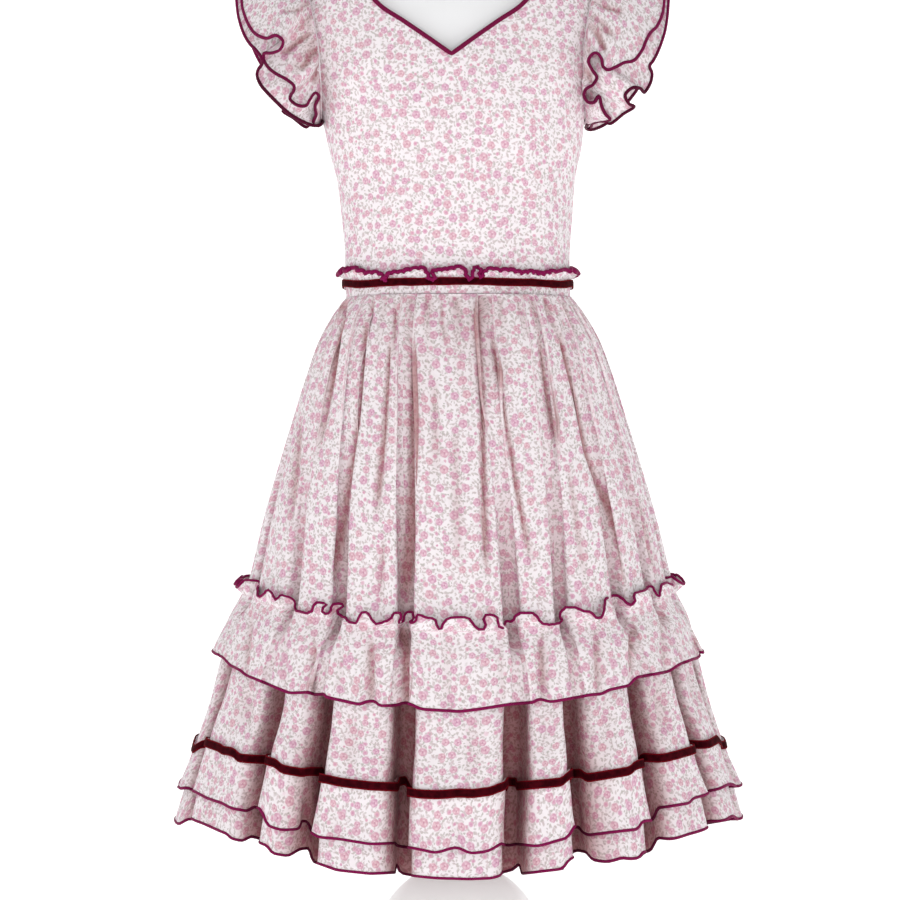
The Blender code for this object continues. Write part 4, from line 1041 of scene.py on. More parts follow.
def match(row, line, loose, limit=14.0, soft=0.8):
    """Heights that bring a row of points to a seen line at the front, and to a
    loose line elsewhere."""
    px, py, k = seen(row)
    xs, ys = np.array([q[0] for q in line], float), np.array([q[1] for q in line], float)
    front = -(np.interp(px, xs, ys) - py) / k
    w = fade(-row[..., 1], 20.0, 80.0) * fade(px, xs[0] - 6, xs[0] + 12) \
        * fade(px, xs[-1] + 6, xs[-1] - 12)
    dz = np.clip(w * front + (1 - w) * loose, -limit, limit)
    return blur_cols(dz[None], soft)[0]


# seen lines of the edges at the front, left to right
LINE_EDGE_1 = (
    (218, 652), (230, 665), (242, 671), (243.5, 674), (272.5, 686), (289, 693), (310, 692),
    (312, 694.5), (324, 694), (326, 697), (362, 705), (364, 701), (376, 701), (378, 706),
    (399, 705), (403, 702), (414, 705), (419, 709), (460, 711.5), (483, 708.6), (511, 704),
    (536, 702), (538, 698), (550, 702), (592, 694.5), (603, 694), (604.5, 691), (631, 685),
    (632.5, 678), (668.6, 671.5), (680, 664), (699, 657), (700.5, 652), (708, 646))
LINE_RIBBON = (
    (198, 735), (224, 747), (225, 750), (238, 751), (239, 757), (254, 758), (279, 758),
    (280, 768), (303, 772), (304, 770), (320, 770), (322, 777), (345, 782), (370, 785),
    (393, 786), (394, 780), (407, 779), (409, 790), (419, 793), (440, 794), (460, 792),
    (470, 793), (492, 790), (493, 787), (501, 786), (502, 781), (521, 781), (522, 785),
    (563, 781), (564, 772), (586, 772), (588, 777), (630, 770), (631, 765), (642, 762),
    (643, 752), (677, 747), (678, 742), (700, 738), (720, 731))
LINE_EDGE_2 = (
    (183, 782), (194, 791), (207, 798), (222, 803), (231, 808), (247.6, 811), (255, 806),
    (264, 811), (266, 825), (281, 830), (299.5, 829), (301, 821), (309, 821), (311, 832),
    (318, 837), (340, 839), (370, 844), (395.6, 843), (397.5, 846), (414, 848), (436, 853),
    (455, 847), (460, 848), (470, 853.6), (489.5, 851), (501, 843), (507, 846), (515, 844),
    (539, 846), (562.7, 839), (569, 838), (571, 828), (576.5, 825), (582.5, 832), (588, 835),
    (620, 831), (639, 829), (641, 821), (654, 820), (656, 808), (664.5, 807), (690, 803),
    (695, 794), (718, 789), (740.6, 779))
LINE_HEM = (
    (182, 812), (197.7, 821), (229, 832), (230, 838), (243, 841), (250.5, 836), (269, 841),
    (271, 853), (288, 856), (299.5, 849), (311, 848), (312, 861), (336.5, 870), (370, 873.6),
    (395, 872.5), (396, 864), (398, 864), (399.5, 873), (416, 876), (436, 878), (470, 879),
    (492.5, 878), (501, 875), (502, 871), (515, 871), (516, 864), (520, 864), (521.5, 873.6),
    (565, 868.6), (566.5, 854), (576.5, 850), (586.4, 852), (592.3, 860), (608, 862),
    (625, 857), (627, 859), (640, 858), (641, 852.6), (653, 850), (655, 835), (675.4, 833),
    (690, 831), (692, 827), (711, 820), (742.6, 813))

# creases of the upper skirt at the front: seen line, depth, half width top, foot
CREASES = (
    (((338, 337), (318, 448)), 2.6, 4.0, 8.0),
    (((364, 325), (357, 418), (346, 492), (336.5, 577)), 3.6, 3.5, 6.0),
    (((388, 344), (383, 436), (376, 510)), 3.4, 3.5, 8.0),
    (((413, 344), (411, 455), (410, 529), (406, 592)), 4.2, 3.5, 9.0),
    (((446, 318), (446, 352)), 1.8, 3.5, 5.0),
    (((477, 307), (483, 400), (484, 474), (486, 566)), 4.6, 3.2, 7.0),
    (((492, 337), (507, 425), (518, 492), (531, 558)), 3.2, 3.5, 7.0),
    (((540, 340), (551, 411), (558, 448)), 2.6, 3.5, 7.0),
    (((562, 337), (577, 400), (588, 455), (605, 499), (619, 558), (625, 581)), 3.8, 3.2, 6.0),
    (((346, 300), (336, 345), (328, 390)), 2.6, 3.0, 6.0),
    (((394, 300), (392, 352)), 2.6, 3.0, 5.0),
    (((426, 296), (426, 318)), 2.2, 2.6, 3.5), (((441, 298), (442, 338)), 2.6, 3.0, 4.5),
    (((517, 300), (524.5, 326)), 2.4, 3.0, 4.5), (((563, 297), (580, 336)), 2.4, 3.0, 4.5),
    (((458, 297), (461, 330)), 2.0, 3.0, 4.5), (((545, 297), (551, 322)), 2.0, 2.8, 4.0),
    (((372, 297), (368, 330)), 2.2, 2.8, 4.0), (((500, 298), (505, 322)), 1.8, 2.8, 4.0),
    (((300, 420), (290, 520)), 2.4, 6.0, 11.0), (((434, 380), (436, 470)), 1.6, 7.0, 11.0),
    (((640, 500), (655, 575)), 2.2, 6.0, 10.0), (((455, 430), (458, 560)), 1.5, 8.0, 13.0),
    (((570, 470), (585, 575)), 1.8, 6.0, 9.0), (((383, 540), (378, 598)), 2.2, 5.0, 9.0),
)
# short tucks where a flounce is caught: seen line, depth, half widths
TUCKS_1 = (
    (((249, 618), (244, 676)), 4.0, 4.0, 4.5), (((313, 640), (311, 698)), 5.0, 4.0, 4.0),
    (((370, 640), (370, 712)), 5.5, 5.0, 6.5), (((405, 628), (404, 712)), 6.0, 4.0, 5.0),
    (((446, 640), (448, 716)), 2.0, 5.0, 6.0), (((542, 636), (544, 706)), 5.5, 4.0, 7.0),
    (((598, 630), (600, 698)), 4.5, 4.0, 6.0), (((634, 622), (632, 686)), 5.0, 3.5, 4.0),
    (((662, 606), (668, 678)), 3.0, 4.0, 5.0), (((692, 606), (701, 660)), 4.5, 4.0, 4.5),
    (((285, 628), (283, 690)), 2.0, 5.0, 7.0), (((500, 640), (504, 712)), 2.4, 5.0, 6.0),
    (((340, 640), (338, 700)), 1.8, 5.0, 7.0), (((572, 636), (574, 700)), 2.0, 5.0, 7.0),
)
TUCKS_LOW = (
    (((247, 700), (247, 742)), 2.4, 5.0, 6.0), (((290, 700), (291, 760)), 2.0, 6.0, 7.0),
    (((352, 712), (350, 776)), 1.8, 7.0, 8.0), (((375, 712), (376, 780)), 2.4, 5.0, 6.0),
    (((430, 716), (428, 786)), 2.0, 6.0, 7.0), (((472, 716), (474, 786)), 2.6, 5.0, 6.0),
    (((544, 712), (545, 776)), 2.2, 6.0, 7.0), (((606, 700), (609, 768)), 2.2, 6.0, 7.0),
    (((691, 664), (697, 736)), 2.4, 5.0, 6.0), (((655, 690), (662, 745)), 2.0, 5.0, 6.0),
)
TUCKS_2 = (
    (((243, 770), (246, 812)), 2.6, 4.0, 5.0), (((308, 790), (306, 840)), 4.0, 3.5, 4.5),
    (((335, 796), (333, 842)), 1.8, 4.0, 6.0), (((363, 800), (362, 848)), 2.2, 4.0, 6.0),
    (((425, 806), (424, 856)), 2.4, 4.0, 6.0), (((457, 802), (457, 852)), 3.4, 4.0, 5.0),
    (((482, 804), (484, 856)), 2.4, 4.0, 6.0), (((504, 800), (504, 850)), 3.0, 3.5, 4.5),
    (((540, 800), (541, 850)), 2.2, 4.0, 6.0), (((577, 788), (577, 832)), 3.4, 3.5, 5.0),
    (((606, 786), (609, 838)), 2.2, 4.0, 6.0), (((666, 762), (672, 808)), 2.4, 4.0, 5.0),
    (((708, 748), (716, 792)), 2.6, 4.0, 5.0), (((216, 758), (212, 800)), 2.4, 4.0, 5.0),
)


def waves_of(row, length, seed, wander=0.9):
    """Phase of a ruffle along a closed row; the mean wave is length mm long."""
    step = np.linalg.norm(np.roll(row, -1, 0) - row, axis=1)
    run = np.concatenate([[0.0], np.cumsum(step)])
    count = max(3, int(round(run[-1] / length)))
    c = run[:-1] / run[-1]
    return 2 * math.pi * (count * c + wander * noise(c, int(count * 0.8), seed)
                          + 0.8 * noise(c, max(3, int(count * 0.2)), seed + 1)), c


# ---- upper skirt
def seam_gather(lv):
    """Puckers both layers share at flounce 1's stitch line."""
    d = np.abs(np.asarray(lv, float) - STITCH_1)[:, None]
    return 1.5 * gathers(ROUND, 96, 51)[None] * np.exp(-d / 16.0) \
        + 1.6 * gathers(ROUND, 58, 52)[None] * np.exp(-d / 45.0)


def low_gather(lv):
    """Puckers shared where the ribbon and the two lower flounces meet."""
    d = np.abs(np.asarray(lv, float) - SEAM_2)[:, None]
    return 1.1 * gathers(ROUND, 118, 61)[None] * np.exp(-d / 14.0) \
        + 1.5 * gathers(ROUND, 66, 62)[None] * np.exp(-d / 40.0)


def drape(p, size, seed, cell=46.0, tall=120.0):
    """Slow, uneven unevenness that hangs down the cloth."""
    step = np.linalg.norm(np.roll(p[-1], -1, 0) - p[-1], axis=1)
    run = np.concatenate([[0.0], np.cumsum(step)])[:-1]
    u = np.repeat(run[None], len(p), 0)
    close = fade(run, 0.0, 60.0) * fade(run, run[-1], run[-1] - 60.0)
    return size * noise2(u, p[..., 2], cell, tall, seed) * close[None]


lv = np.concatenate([[SKIRT_TOP + 0.7], SKIRT_TOP - 0.3 - (
    SKIRT_TOP - 0.3 - STITCH_1 - 0.4) * np.linspace(0, 1, 40) ** 1.35])
p = eased(rows_of(lv), 0.85 * fade(lv, 372.0, 560.0))
d = (SKIRT_TOP - lv)[:, None]
small = gathers(ROUND, 62, 21, 0.04)[None]
lines = 1.2 * on_lines(p, CREASES, False, 0.5) + 1.1 * on_lines(p, CREASES[1:19:2], True, 0.6)
amount = (4.2 * small * np.exp(-d / 30.0) * fade(d, 0.0, 3.0)
          + 6.6 * gathers(ROUND, 38, 22, 0.03)[None] * np.exp(-d / 90.0) * fade(d, 0.0, 22.0)
          + 2.6 * gathers(ROUND, 29, 24, 0.05)[None] * fade(d, 20.0, 90.0)
          + drape(p, 1.5, 23) * fade(d, 30.0, 120.0)
          + seam_gather(lv) + lines)
amount[0] -= 1.7
# the seams at the sides and centre back: a narrow dip
ang = np.degrees(np.arctan2(p[..., 0], -p[..., 1]))
for at in (-90.0, 90.0, 180.0):
    off = np.abs((ang - at + 180.0) % 360.0 - 180.0) * math.pi / 180.0 * 190.0
    amount -= 0.9 * np.exp(-(off / 1.6) ** 2)
p = push(p, amount)
# painted shade: the skirt's colour is darkened in its hollows, along the crease lines and in the small
# gathers at the waist
shade = hollows(p, 7.0, 9.0) ** 1.7 * (0.5 + 0.1 * fade(lv, 420.0, 600.0))[:, None] \
    + 0.85 * np.clip(-lines / 3.6, 0, 1) ** 1.3 \
    + 1.5 * np.abs(small) ** 1.5 * np.exp(-d / 36.0) * fade(d, 0.0, 4.0)
skirt = ride(shell("skirt", p, lobe_cloth(p), [PRINT, WRONG], True,
                   painted_shade=np.clip(shade, 0, 0.9)), "printed_cotton",
             "skirt_front", "skirt_back_left", "skirt_back_right")
SKIRT_P = p

# ---- lower tier
lv = STITCH_1 - 0.6 - (STITCH_1 - 0.6 - SEAM_2) * np.linspace(0, 1, 24)
p = rows_of(lv)
d = (STITCH_1 - lv)[:, None]
amount = (seam_gather(lv) + low_gather(lv) + drape(p, 2.0, 33, 38.0, 90.0)
          * fade(d, 10.0, 60.0) * fade(lv[:, None], SEAM_2, SEAM_2 + 40.0)
          + 2.6 * gathers(ROUND, 62, 34)[None] * fade(d, 20.0, 70.0)
          * fade(lv[:, None], SEAM_2 + 4.0, SEAM_2 + 50.0)
          + 1.4 * on_lines(p, TUCKS_LOW) + 1.4 * on_lines(p, TUCKS_LOW, True))
p = push(p, amount)
raise_low = match(p[-1], [(x, y) for x, y in LINE_RIBBON], 2.2 * noise(ROUND, 23, 65))
p[..., 2] += raise_low[None] * (fade(lv, STITCH_1 - 40.0, SEAM_2)[:, None])
# painted shade in the tier's hollows
tier = ride(shell("skirt_tier", p, lobe_cloth(p, 1.3), [PRINT, WRONG], True,
                  painted_shade=hollows(p)),
            "printed_cotton", "skirt_tier_front", "skirt_tier_back")
TIER_LOW = p[-1]


def edge_cord(name, row, nrm, radius=1.3, material=None, closed=True, painted_shade=None):
    ob = tube(name, row - nrm * 0.25, radius, [material or PLUM], closed, 6, 1.15)
    # painted shade: carried on the cord as a point attribute
    if painted_shade is not None:
        mark = ob.data.attributes.new("painted_shade", "FLOAT", "POINT")
        mark.data.foreach_set("value", np.repeat(painted_shade, 6).astype(np.float32)
                              if len(ob.data.vertices) == 6 * len(row) else
                              np.zeros(len(ob.data.vertices), np.float32))
    return ride(outward_faces(ob), "plum_binding")


# seen lines of the two stand-up frills at the front, left to right
LINE_HEADING = (
    (238, 590), (241, 586), (244, 579), (250, 574.6), (257, 575), (261, 580), (257.5, 588),
    (258, 597), (263, 595), (268, 590), (272, 594), (275.5, 600), (281, 595.5), (288, 597),
    (293.5, 600), (295, 608), (297.5, 615.5), (305, 614), (312, 611), (314, 605), (318, 602),
    (324, 601.5), (326, 605), (322, 609), (324, 614), (330, 612.5), (332, 605.5),
    (338, 603.5), (343.5, 605.5), (337, 611), (340, 615.5), (346, 618.5), (352, 627),
    (358, 620), (361, 613.5), (367, 612.5), (371, 619), (376, 624), (384, 622), (391, 618.5),
    (394.5, 612.5), (399, 612), (400.5, 619), (397.5, 622.5), (403, 621.5), (406, 613),
    (411, 611.5), (413.5, 618), (409.5, 622.5), (415, 622), (418, 614.5), (423, 616.5),
    (429, 618), (435, 619.5), (437.5, 628), (441, 631), (443, 624), (446.5, 619.5),
    (454, 617.5), (463, 617), (469, 619), (474, 626), (481, 630.5), (487, 627),
    (483.5, 619.5), (486, 613), (492, 614), (497, 618), (499, 626), (503, 628), (506, 622),
    (512, 621.5), (516, 616), (522, 612.5), (530, 611.5), (536, 616), (542, 623.5),
    (549, 624.5), (557, 624), (562, 621), (560, 615), (564, 609), (570, 606), (577, 608),
    (583, 611), (591, 612.5), (597, 618.5), (602, 617), (604.5, 609), (606, 599),
    (611, 594.5), (618, 596), (624, 600.5), (630, 605), (635, 602), (634.5, 594),
    (638, 589), (645, 586), (652, 587), (656, 594), (659.5, 596.5), (661, 588),
    (664, 581.5), (671, 580), (679, 581.5), (681, 576), (674, 570))
LINE_FRILL = (
    (338, 267), (337, 273), (341, 278), (345, 274.5), (348, 271.5), (356, 269), (361, 271),
    (366, 273.6), (373, 272.2), (380, 273.8), (383, 278), (384.8, 281), (387, 275.5),
    (393, 272.6), (400.5, 272), (411.7, 269), (422.8, 268.2), (427, 273), (428, 278),
    (431.5, 279.6), (435.3, 278.6), (434, 274.2), (431.5, 272.6), (435, 270.4), (442, 269.6),
    (453, 268), (461.7, 266.6), (465, 271.5), (467.2, 277.8), (471.2, 279.4), (473, 273.5),
    (474, 268.5), (478, 267), (480.5, 270), (478.8, 275), (481.5, 277.6), (484.5, 271.5),
    (492.2, 268.4), (500.5, 270.6), (506, 269.4), (511.7, 270.2), (522.8, 272.6),
    (531, 271.4), (542.2, 273.8), (550.5, 272), (561.7, 271), (568.6, 269), (572.8, 266.7),
    (576.2, 270.5), (574, 275))


def seen_curve(points, step=0.4):
    """Smooth open curve through seen places, evenly spaced, and its steady
    place across the picture."""
    q = np.asarray(points, float)
    q = np.concatenate([[2 * q[0] - q[1]], q, [2 * q[-1] - q[-2]]])
    dense = []
    for i in range(1, len(q) - 2):
        p0, p1, p2, p3 = q[i - 1], q[i], q[i + 1], q[i + 2]
        t0 = 0.0
        t1 = t0 + np.linalg.norm(p1 - p0) ** 0.5
        t2 = t1 + np.linalg.norm(p2 - p1) ** 0.5
        t3 = t2 + np.linalg.norm(p3 - p2) ** 0.5
        t = np.linspace(t1, t2, 25)[:-1][:, None]
        a1 = (t1 - t) / (t1 - t0) * p0 + (t - t0) / (t1 - t0) * p1
        a2 = (t2 - t) / (t2 - t1) * p1 + (t - t1) / (t2 - t1) * p2
        a3 = (t3 - t) / (t3 - t2) * p2 + (t - t2) / (t3 - t2) * p3
        b1 = (t2 - t) / (t2 - t0) * a1 + (t - t0) / (t2 - t0) * a2
        b2 = (t3 - t) / (t3 - t1) * a2 + (t - t1) / (t3 - t1) * a3
        dense.append((t2 - t) / (t2 - t1) * b1 + (t - t1) / (t2 - t1) * b2)
    dense = np.concatenate(dense)
    run = np.concatenate([[0.0], np.cumsum(np.linalg.norm(np.diff(dense, axis=0), axis=1))])
    at = np.arange(0, run[-1], step)
    curve = np.stack([np.interp(at, run, dense[:, k]) for k in range(2)], -1)
    wide = blur_cols(np.pad(curve[:, 0], 90, mode="reflect", reflect_type="odd")[None],
                     38.0, 1, False)[0][90:-90]
    wide = np.maximum.accumulate(wide) + np.arange(len(wide)) * 1e-4
    return curve, wide


def seen_edge(edge, calm, seam, out, line, tall, floor, curl=0.0):
    """Free edge of a frill, drawn to a seen line at the front; what the seen
    height leaves of the cloth's width leans outward."""
    curve, wide = seen_curve(line)
    px = seen(calm)[0]
    order = np.argsort(np.arctan2(calm[:, 0] + 9.0, -calm[:, 1]))
    px2 = px.copy()
    front = -calm[:, 1] > 0
    run = np.maximum.accumulate(px[order][front[order]])
    px2[order[front[order]]] = run
    t = np.interp(px2, wide, np.arange(len(wide)))
    tx = np.interp(t, np.arange(len(curve)), curve[:, 0])
    ty = np.interp(t, np.arange(len(curve)), curve[:, 1])
    turns = t * 0.4 * 2 * math.pi / 6.4 + 2.2 * np.sin(t * 0.4 / 11.0)
    tx, ty = tx + 1.3 * curl * np.cos(turns), ty + curl * np.sin(turns)
    sx, sy, k = seen(seam)
    rise = np.clip((sy - ty) / k, floor, tall)
    ty = sy - rise * k
    across = (tx - sx) / k
    reach = np.sqrt(np.maximum(1.2, tall ** 2 - rise ** 2 - np.minimum(
        across ** 2, 0.5 * tall ** 2))) * 0.62
    near = np.min([np.roll(seam[:, 1], j) for j in range(-5, 6)], axis=0)
    near = blur_cols(near[None], 3.0)[0]
    y = np.minimum(calm[:, 1], near) + out[:, 1] * (1.0 + reach)
    scale = (-CAM[1] + y) / -CAM[1]
    goal = np.stack([(tx - 450.0) * scale + CAM[0], y, CAM[2] - (ty - 450.0) * scale], -1)
    xs = np.array([q[0] for q in line], float)
    w = fade(-calm[:, 1], 25.0, 70.0) * fade(px, xs.min() - 2, xs.min() + 10) \
        * fade(px, xs.max() + 2, xs.max() - 10)
    w = w[:, None]
    return edge * (1 - w) + goal * w


# ---- flounce 1, with its stand-up heading
lv1 = STITCH_1 - (STITCH_1 - EDGE_1) * np.linspace(0, 1, 20) ** 0.95
grow, shal, narr = (mono(FLOUNCE_1, lv1, k) for k in (1, 2, 3))
p = rows_of(lv1, grow, shal, narr)
d = (STITCH_1 - lv1)[:, None]
p = eased(p, 0.8 * fade(d[:, 0], 3.0, 26.0), 24.0)
rise = fade(d, 0.0, STITCH_1 - EDGE_1)
tucks = on_lines(p, TUCKS_1, False, 0.8) + on_lines(p, TUCKS_1, True, 0.8)
amount = (seam_gather(lv1) + 3.4 * gathers(ROUND, 88, 71, 0.04)[None] * np.exp(-d / 17.0)
          * fade(d, 0.0, 4.0)
          + 3.0 * gathers(ROUND, 46, 72)[None] * rise
          + drape(p, 1.6, 73, 30.0, 60.0) * rise
          + tucks)
p = push(p, amount)
lift = match(p[-1], LINE_EDGE_1, 3.0 * noise(ROUND, 31, 74) + 1.5 * noise(ROUND, 90, 75))
p[..., 2] += lift[None] * rise
stitch, out = p[0], outward(p[:1])[0]
flow = unit(np.roll(stitch, -1, 0) - np.roll(stitch, 1, 0))
psi, c1 = waves_of(stitch, 27.0, 76, 1.1)
tall = 15.5 * (1.0 + 0.16 * noise(c1, 90, 77))
lean = np.radians(30.0 + 50.0 * np.cos(psi) + 10.0 * noise(c1, 70, 78))
side = 5.4 * np.sin(2 * psi + 0.5 * noise(c1, 40, 79)) - 3.0 * np.sin(psi) * noise(c1, 50, 80)
out_s = blur_cols(out[None], 8.0)[0]
edge = stitch + flow * side[:, None] + out_s * (1.5 + tall * 0.62 * np.sin(
    np.maximum(lean, 0.02)) ** 2)[:, None]
edge[:, 2] = stitch[:, 2] + tall * np.cos(lean * 0.8)
edge = blur_cols(edge[None], 0.8)[0]
edge = seen_edge(edge, blur_cols(stitch[None], 7.0)[0], stitch, out_s, LINE_HEADING, 14.5, 0.2, 0.25)
heading = []
for t in np.linspace(1, 0, 10)[:-1]:
    q = stitch + (edge - stitch) * np.array((t ** 1.15, t ** 1.15, t ** 0.92))
    heading.append(q + out_s * (1.5 * 4 * t * (1 - t)))
f1_uv = lobe_cloth(p, 2.7, 14.5 * np.linspace(1, 0, 10)[:-1])
p = np.concatenate([np.array(heading), p])
# painted shade in the flounce's hollows and tucks, lighter on the heading
f1 = ride(shell("flounce_1", p, f1_uv, [PRINT, WRONG], True, painted_shade=np.concatenate(
    [0.2 * hollows(p[:9]), np.clip(0.5 * hollows(p[9:], 8.0, 11.0)
                                   + 0.6 * np.clip(-tucks / 4.5, 0, 1) ** 1.5, 0, 0.95)])),
          "printed_cotton", "flounce_1_front", "flounce_1_back")
nr = normals(p, True)
f1_top = edge_cord("flounce_1_heading_edge", p[0], nr[0], 1.25)
# painted shade on the edge cord where it runs through hollows
f1_low = edge_cord("flounce_1_edge", p[-1], nr[-1], painted_shade=hollows(p[-1:])[0])
# the line of stitches that gathers it on, a shallow cord of thread
st = tube("flounce_1_stitch", stitch + out * 0.15, 0.35, [thread_material(
    "rose_thread", lin(238, 216, 224), lin(220, 190, 200), 2.4)], True, 5)
ride(outward_faces(st), "printed_cotton")

# ---- flounce 3 under, then flounce 2, then the ribbon over their seam
lv3 = SEAM_2 - 0.6 - (SEAM_2 - 0.6 - HEM_LEVEL) * np.linspace(0, 1, 22)
p = rows_of(lv3)
d = (SEAM_2 - lv3)[:, None]
rise = fade(d, 0.0, SEAM_2 - HEM_LEVEL)
amount = (low_gather(lv3) + 2.4 * gathers(ROUND, 52, 81)[None] * rise
          + drape(p, 1.5, 82, 34.0, 60.0) * rise
          + 0.6 * on_lines(p, TUCKS_2) * rise + on_lines(p, TUCKS_2, True) * rise)
p = push(p, amount)
hem_dz = match(p[-1], LINE_HEM, 2.6 * noise(ROUND, 29, 83) + 1.2 * noise(ROUND, 80, 84))
p[..., 2] += raise_low[None] * (1 - rise) + hem_dz[None] * rise
# painted shade in the flounce's hollows
f3 = ride(shell("flounce_3", p, lobe_cloth(p, 4.1), [PRINT, WRONG], True,
                painted_shade=hollows(p)),
          "printed_cotton", "flounce_3_front", "flounce_3_back")
# painted shade on the edge cord where it runs through hollows
f3_low = edge_cord("flounce_3_edge", p[-1], normals(p, True)[-1],
                   painted_shade=hollows(p[-1:])[0])

top2 = SEAM_2 + 3.2
lv2 = top2 - (top2 - EDGE_2) * np.linspace(0, 1, 17)
grow, shal, narr = (mono(FLOUNCE_2, lv2, k) for k in (1, 2, 3))
p = rows_of(lv2, grow, shal, narr)
d = (SEAM_2 - lv2)[:, None]
rise = fade(d, 0.0, SEAM_2 - EDGE_2)
amount = (low_gather(lv2) + 2.2 * gathers(ROUND, 100, 91, 0.04)[None] * np.exp(-np.abs(d) / 14.0)
          * fade(d, 2.0, 8.0)
          + 2.8 * gathers(ROUND, 56, 92)[None] * rise
          + drape(p, 1.4, 93, 26.0, 50.0) * rise
          + on_lines(p, TUCKS_2) * rise + on_lines(p, TUCKS_2, True) * rise)
p = push(p, amount)
edge_dz = match(p[-1], LINE_EDGE_2, 2.8 * noise(ROUND, 33, 94) + 1.4 * noise(ROUND, 88, 95))
p[..., 2] += raise_low[None] * (1 - rise) + edge_dz[None] * rise
# painted shade in the flounce's hollows
f2 = ride(shell("flounce_2", p, lobe_cloth(p, 5.9), [PRINT, WRONG], True,
                painted_shade=hollows(p)),
          "printed_cotton", "flounce_2_front", "flounce_2_back")
# painted shade on the edge cord where it runs through hollows
f2_low = edge_cord("flounce_2_edge", p[-1], normals(p, True)[-1],
                   painted_shade=hollows(p[-1:])[0])


def strip_uv(p, closed=True):
    q = np.concatenate([p, p[:, :1]], 1) if closed else p
    run = np.concatenate([[0.0], np.cumsum(np.linalg.norm(
        np.diff(q[len(q) // 2], axis=0), axis=1))])
    drop = np.concatenate([[0.0], np.cumsum(np.linalg.norm(
        np.diff(q, axis=0), axis=-1).mean(1))])
    u = np.repeat(run[None], len(q), 0)
    return np.stack([u, np.repeat((drop[-1] - drop)[:, None], q.shape[1], 1)], -1) * MM


lvr = SEAM_2 + VELVET_W / 2 - VELVET_W * np.linspace(0, 1, 5)
p = rows_of(lvr, *RIBBON_2)
crown = 0.35 * (1 - (2 * np.linspace(0, 1, 5) - 1) ** 4)[:, None]
amount = 0.75 * low_gather(lvr) + crown + 0.35 * noise(ROUND, 120, 101)[None]
p = push(p, amount)
p[..., 2] += raise_low[None]
uv = strip_uv(p)
uv[..., 1] = (VELVET_W * MM) * (1 - np.linspace(0, 1, 5))[:, None]
ribbon_2 = ride(shell("hem_ribbon_velvet", p, uv, [VELVET], True, 0.8), "velvet_ribbon",
                "hem_ribbon")


# ---------------------------------------------------------------------- bodice
def body_point(z, phi, grow=0.0):
    z, phi = np.asarray(z, float), np.asarray(phi, float)
    a = mono(BODY, z, 1) + grow
    b = np.where(np.cos(phi) >= 0, mono(BODY, z, 2), mono(BODY, z, 3)) + grow
    s, c = np.sin(phi), np.cos(phi)
    e = 2.0 / BODY_POWER
    return np.stack([mono(BODY, z, 4) + a * np.copysign(np.abs(s) ** e, s),
                     mono(BODY, z, 5) - b * np.copysign(np.abs(c) ** e, c),
                     z + 0.0 * phi], -1)


def phi_of(z, half_w):
    a = mono(BODY, z, 1)
    return np.arcsin(np.clip(np.minimum(half_w, a) / a, 0, 1) ** (BODY_POWER / 2.0))


def track(table, t):
    """(z, half width) along an edge table by share of its length of rows."""
    tab = np.array(table, float)
    idx = np.arange(len(tab), dtype=float)
    v = pchip(idx, tab, np.asarray(t, float) * (len(tab) - 1))
    return v[..., 0], v[..., 1]


def arm_track(z0, t):
    """(z, phi) along the armhole from height z0 to the shoulder."""
    zs = z0 + (ARMHOLE[-1][0] - z0) * np.linspace(0, 1, 600)
    w = mono(ARMHOLE, zs, 1)
    ph = phi_of(zs, w)
    ph[-1] = math.pi / 2
    run = np.concatenate([[0.0], np.cumsum(np.hypot(np.diff(zs), 100 * np.diff(ph)))])
    at = np.asarray(t) * run[-1]
    return np.interp(at, run, zs), np.interp(at, run, ph)


def neck_track(table, t):
    z, w = track(table, t)
    ph = phi_of(z, w)
    return z, np.where(np.asarray(t) > 0.9995, math.pi / 2, ph)


def half_panel(table, cols, low_rows, strap_rows):
    """(z, phi) rows from the shoulder down to the waist, for the +X side."""
    z0 = table[0][0]
    arm0 = ARMHOLE[0][0]
    u = np.linspace(0, 1, cols + 1)[None]
    t = np.linspace(1, 0, strap_rows + 1)
    nz, nph = neck_track(table, t)
    az, aph = arm_track(z0, t)
    strap_z = nz[:, None] * (1 - u) + az[:, None] * u
    strap_p = nph[:, None] * (1 - u) + aph[:, None] * u
    s = np.linspace(1, 0, low_rows + 1)[1:]
    split = (arm0 - WAIST_SEAM) / (z0 - WAIST_SEAM)
    sz = WAIST_SEAM + (z0 - WAIST_SEAM) * s
    sph = np.where(sz > arm0, phi_of(sz, mono(ARMHOLE, sz, 1)), math.pi / 2)
    cz = sz
    low_z = cz[:, None] * (1 - u ** 1.5) + sz[:, None] * u ** 1.5
    low_p = sph[:, None] * u
    return (np.concatenate([strap_z, low_z]), np.concatenate([strap_p, low_p]),
            strap_rows)


def wrinkle(z, phi, seed):
    """Soft unevenness of the bodice: drag lines over the waist, soft folds up the body, a faint bust
    line."""
    arc = phi * 110.0
    low = np.exp(-((z - WAIST_SEAM) / 26.0)) * 1.3 * noise2(arc, z, 17.0, 200.0, seed)
    folds = 1.7 * noise2(arc + 0.35 * (z - 700.0), z, 34.0, 150.0, seed + 1) \
        * fade(z, 660.0, 690.0) * fade(z, 900.0, 820.0)
    slant = 1.2 * noise2(arc - 0.9 * (z - 850.0), z, 28.0, 110.0, seed + 2) \
        * fade(z, 770.0, 820.0) * fade(z, 960.0, 900.0)
    return low + folds + slant


